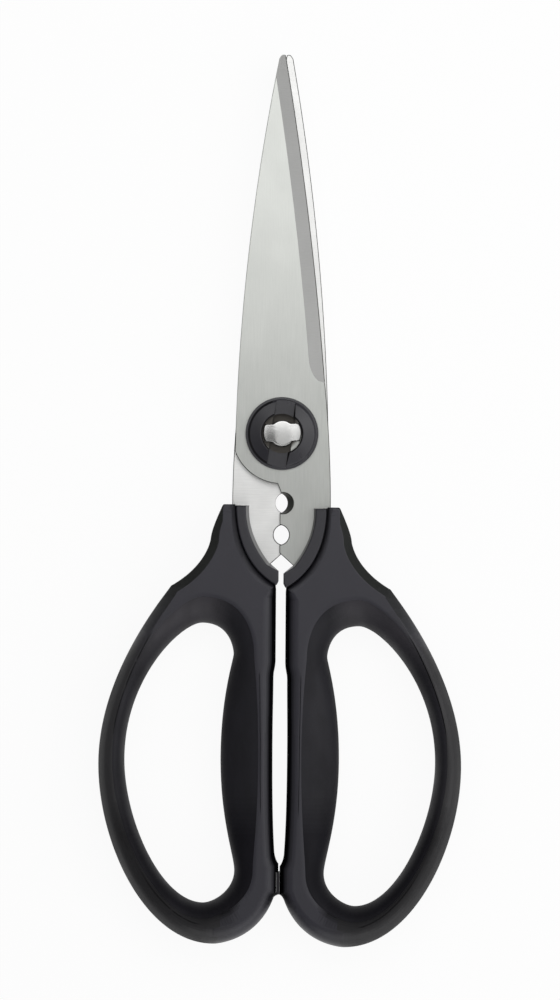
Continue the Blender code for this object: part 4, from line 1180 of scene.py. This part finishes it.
def shade_blade(mesh):
    """Gives the ground edge, the inner face and the cut sides of a blade their own finish: the ground edge
    has its own grind and is painted darker as shade of its tilt, and the cut sides are painted near-black as
    shade.
    """
    bevel_tilt, face_tilt = GRINDING_TILTS
    for face in mesh.polygons:
        tilt = face.normal.z
        edge = face.center.y > EDGE_HEEL[1] - FIT_GAP and face.center.z > INNER_FACE and face.normal.x > 0
        spared = face.center.y > 0 and (abs(tilt) < CUT_TILT or face.normal.x < 0 < tilt)
        face.use_smooth = abs(tilt) < FLAT_TILT
        if tilt < -face_tilt:
            face.material_index = 2
        elif edge and bevel_tilt < tilt < face_tilt and face.area > GROUND_FACE:
            face.material_index = 1
        elif tilt < face_tilt and not spared:
            face.material_index = 3


def shade_ring(mesh):
    """Gives the walls of the ring's way painted shade, the darkest step of the handle's side shade."""
    for face in mesh.polygons:
        reach = RING_CREST_RADIUS if face.normal.x > WAY_WALL_TURN else RING_WALL_RADIUS
        inside = face.center.to_2d().length < reach - RING_FILLET
        face.material_index = int(inside and abs(face.normal.z) < WAY_WALL_TILT)


# Pieces

def place_piece(name, mesh, body, materials, cad_node, sharp=SHARP, upright=False):
    """Puts a piece in its half's place, and hands it to the frame in place of its CAD node."""
    obj = linked(name, mesh)
    mesh.name = name
    mesh.materials.clear()
    for made in materials:
        mesh.materials.append(made)
    mesh.shade_smooth()
    mesh.set_sharp_from_angle(angle=sharp)
    smoothing = obj.modifiers.new("normals", "WEIGHTED_NORMAL")
    smoothing.keep_sharp = True
    obj.location = PIVOT
    if body == "rear_half" and not upright:
        obj.rotation_euler = (0, pi, 0)
    bpy.context.view_layer.update()
    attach(obj, body)
    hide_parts(cad_node)
    return obj


def build_blades(steel):
    keyway = keyed_outline(
        WING_HALF_WIDTH + KEY_CLEARANCE, HEAD_RADIUS + KEY_CLEARANCE, SHANK_RADIUS + BORE_GAP, 0)
    for half, face, hole in (
        ("front", "blade steel", turn_points(keyway, SLOT_ANGLE)),
        ("rear", "back steel", circle((0, 0), SHANK_RADIUS + BORE_GAP, BLADE_STEPS)),
    ):
        mesh = blade_mesh(hole)
        if half == "rear":
            for vertex in mesh.vertices:
                vertex.co.x -= REAR_BOW * max(vertex.co.y, 0) ** 2
        finishes = [steel[name] for name in (face, "ground edge", "ground inner face", "cut side")]
        place_piece(
            f"{half}_blade_steel", mesh, f"{half}_half", finishes, f"{half}_blade",
            BLADE_SHARP)
        shade_blade(mesh)


def build_pivot(steel, dark):
    finishes = [moulded("ring plastic", *RING_FINISH, *RING_GRAIN), dark]
    ring = ring_mesh()
    place_piece("pivot_ring_moulding", ring, "front_half", finishes, "pivot_ring")
    shade_ring(ring)
    stud = stud_mesh()
    stud.transform(Matrix.Rotation(STUD_ANGLE, 4, "Z"))
    place_piece(
        "pivot_stud_steel", stud, "rear_half", [steel["stud steel"]], "pivot_stud",
        upright=True)


def build_handles(plastic):
    hard = moulded("hard plastic", *HARD_FINISH, *HARD_GRAIN)
    lighter_pad = moulded("worn rubber", *PAD_FINISH, *RUBBER_GRAIN)
    rubber = lining_rubbers()
    for side, half, drop in (("right", "front_half", FRONT_HANDLE_DROP), ("left", "rear_half", 0)):
        place_piece(
            f"{side}_collar", collar_mesh(drop), half, [hard], f"{side}_collar_insert")
        pockets = [flange_pocket(drop), tang_pocket()]
        if side == "left":
            pockets.append(pad_mesh(PAD_FIT, 0.0))
        mesh = combined(handle_mesh(drop), "DIFFERENCE", *pockets)
        place_piece(f"{side}_handle_body", mesh, half, plastic, f"{side}_handle")
        shade_handle(mesh, drop)
        lining = place_piece(
            f"{side}_loop_lining", cushion_mesh(drop), half, rubber,
            f"{side}_loop_cushion")
        shade_lining(lining.data)
    pad = place_piece(
        "stop_pad_rubber", pad_mesh(0, PAD_ROUND), "rear_half", [lighter_pad], "stop_pad")


def build_pieces():
    steel = {name: brushed_steel(name, **finish) for name, finish in STEELS.items()}
    plastic = handle_plastics()
    build_blades(steel)
    build_pivot(steel, plastic[-1])
    build_handles(plastic)


# Stage, camera and light

def stage():
    """The ground, mostly plain white where the camera sees it, straight or through a reflection."""
    made, tree, shader = material("ground", *GROUND_FINISH)
    seen = node(tree, "LightPath", output="Is Camera Ray")
    for ray in ("Is Glossy Ray", "Is Transmission Ray"):
        also = node(tree, "LightPath", output=ray)
        seen = node(tree, "Math", [(0, seen), (1, also)], operation="MAXIMUM")
    share = node(tree, "Math", [(0, seen), (1, GROUND_WHITE)], operation="MULTIPLY")
    white = node(tree, "Emission")
    mixed = node(tree, "MixShader", [(0, share), (1, shader.outputs["BSDF"]), (2, white)])
    tree.links.new(mixed, tree.nodes["Material Output"].inputs["Surface"])
    bm = bmesh.new()
    bmesh.ops.create_grid(bm, x_segments=8, y_segments=8, size=GROUND_HALF)
    mesh = bpy.data.meshes.new("ground")
    bm.to_mesh(mesh)
    bm.free()
    mesh.materials.append(made)
    obj = linked("ground", mesh)
    obj.location.z = -GROUND_GAP


def softbox(name, place, target, size, radiance):
    """A rectangular lamp of an even radiance, aimed at a target."""
    lamp = bpy.data.lights.new(name, "AREA")
    lamp.shape = "RECTANGLE"
    lamp.size, lamp.size_y = size
    lamp.energy = radiance * pi * size[0] * size[1]
    obj = linked(name, lamp)
    obj.location = place
    obj.rotation_euler = (Vector(target) - Vector(place)).to_track_quat("-Z", "Y").to_euler()


def light():
    world = bpy.data.worlds.new("studio")
    world.use_nodes = True
    background = world.node_tree.nodes["Background"]
    background.inputs["Color"].default_value = (1, 1, 1, 1)
    background.inputs["Strength"].default_value = WORLD_LIGHT
    bpy.context.scene.world = world
    for name, lamp in LAMPS.items():
        softbox(name, *lamp)


def camera():
    """Straight above, so far off that the lens shows the photograph's width at the blades."""
    distance = IMAGE_SIZE[1] * PIXEL * LENS / SENSOR
    right, down = (size / 2 - at for size, at in zip(IMAGE_SIZE, PIVOT_PIXEL))
    place = turn_points([Vector((right, -down)) * PIXEL], ROLL)[0]
    data = bpy.data.cameras.new("camera")
    data.lens = LENS
    data.sensor_width = SENSOR
    data.clip_end = distance * CLIP_SHARE
    obj = linked("camera", data)
    obj.location = (PIVOT.x + place.x, PIVOT.y + place.y, PIVOT.z + distance)
    obj.rotation_euler = (0, 0, ROLL)
    bpy.context.scene.camera = obj


build_pieces()
stage()
light()
camera()
bpy.context.scene.view_settings.view_transform = "Standard"
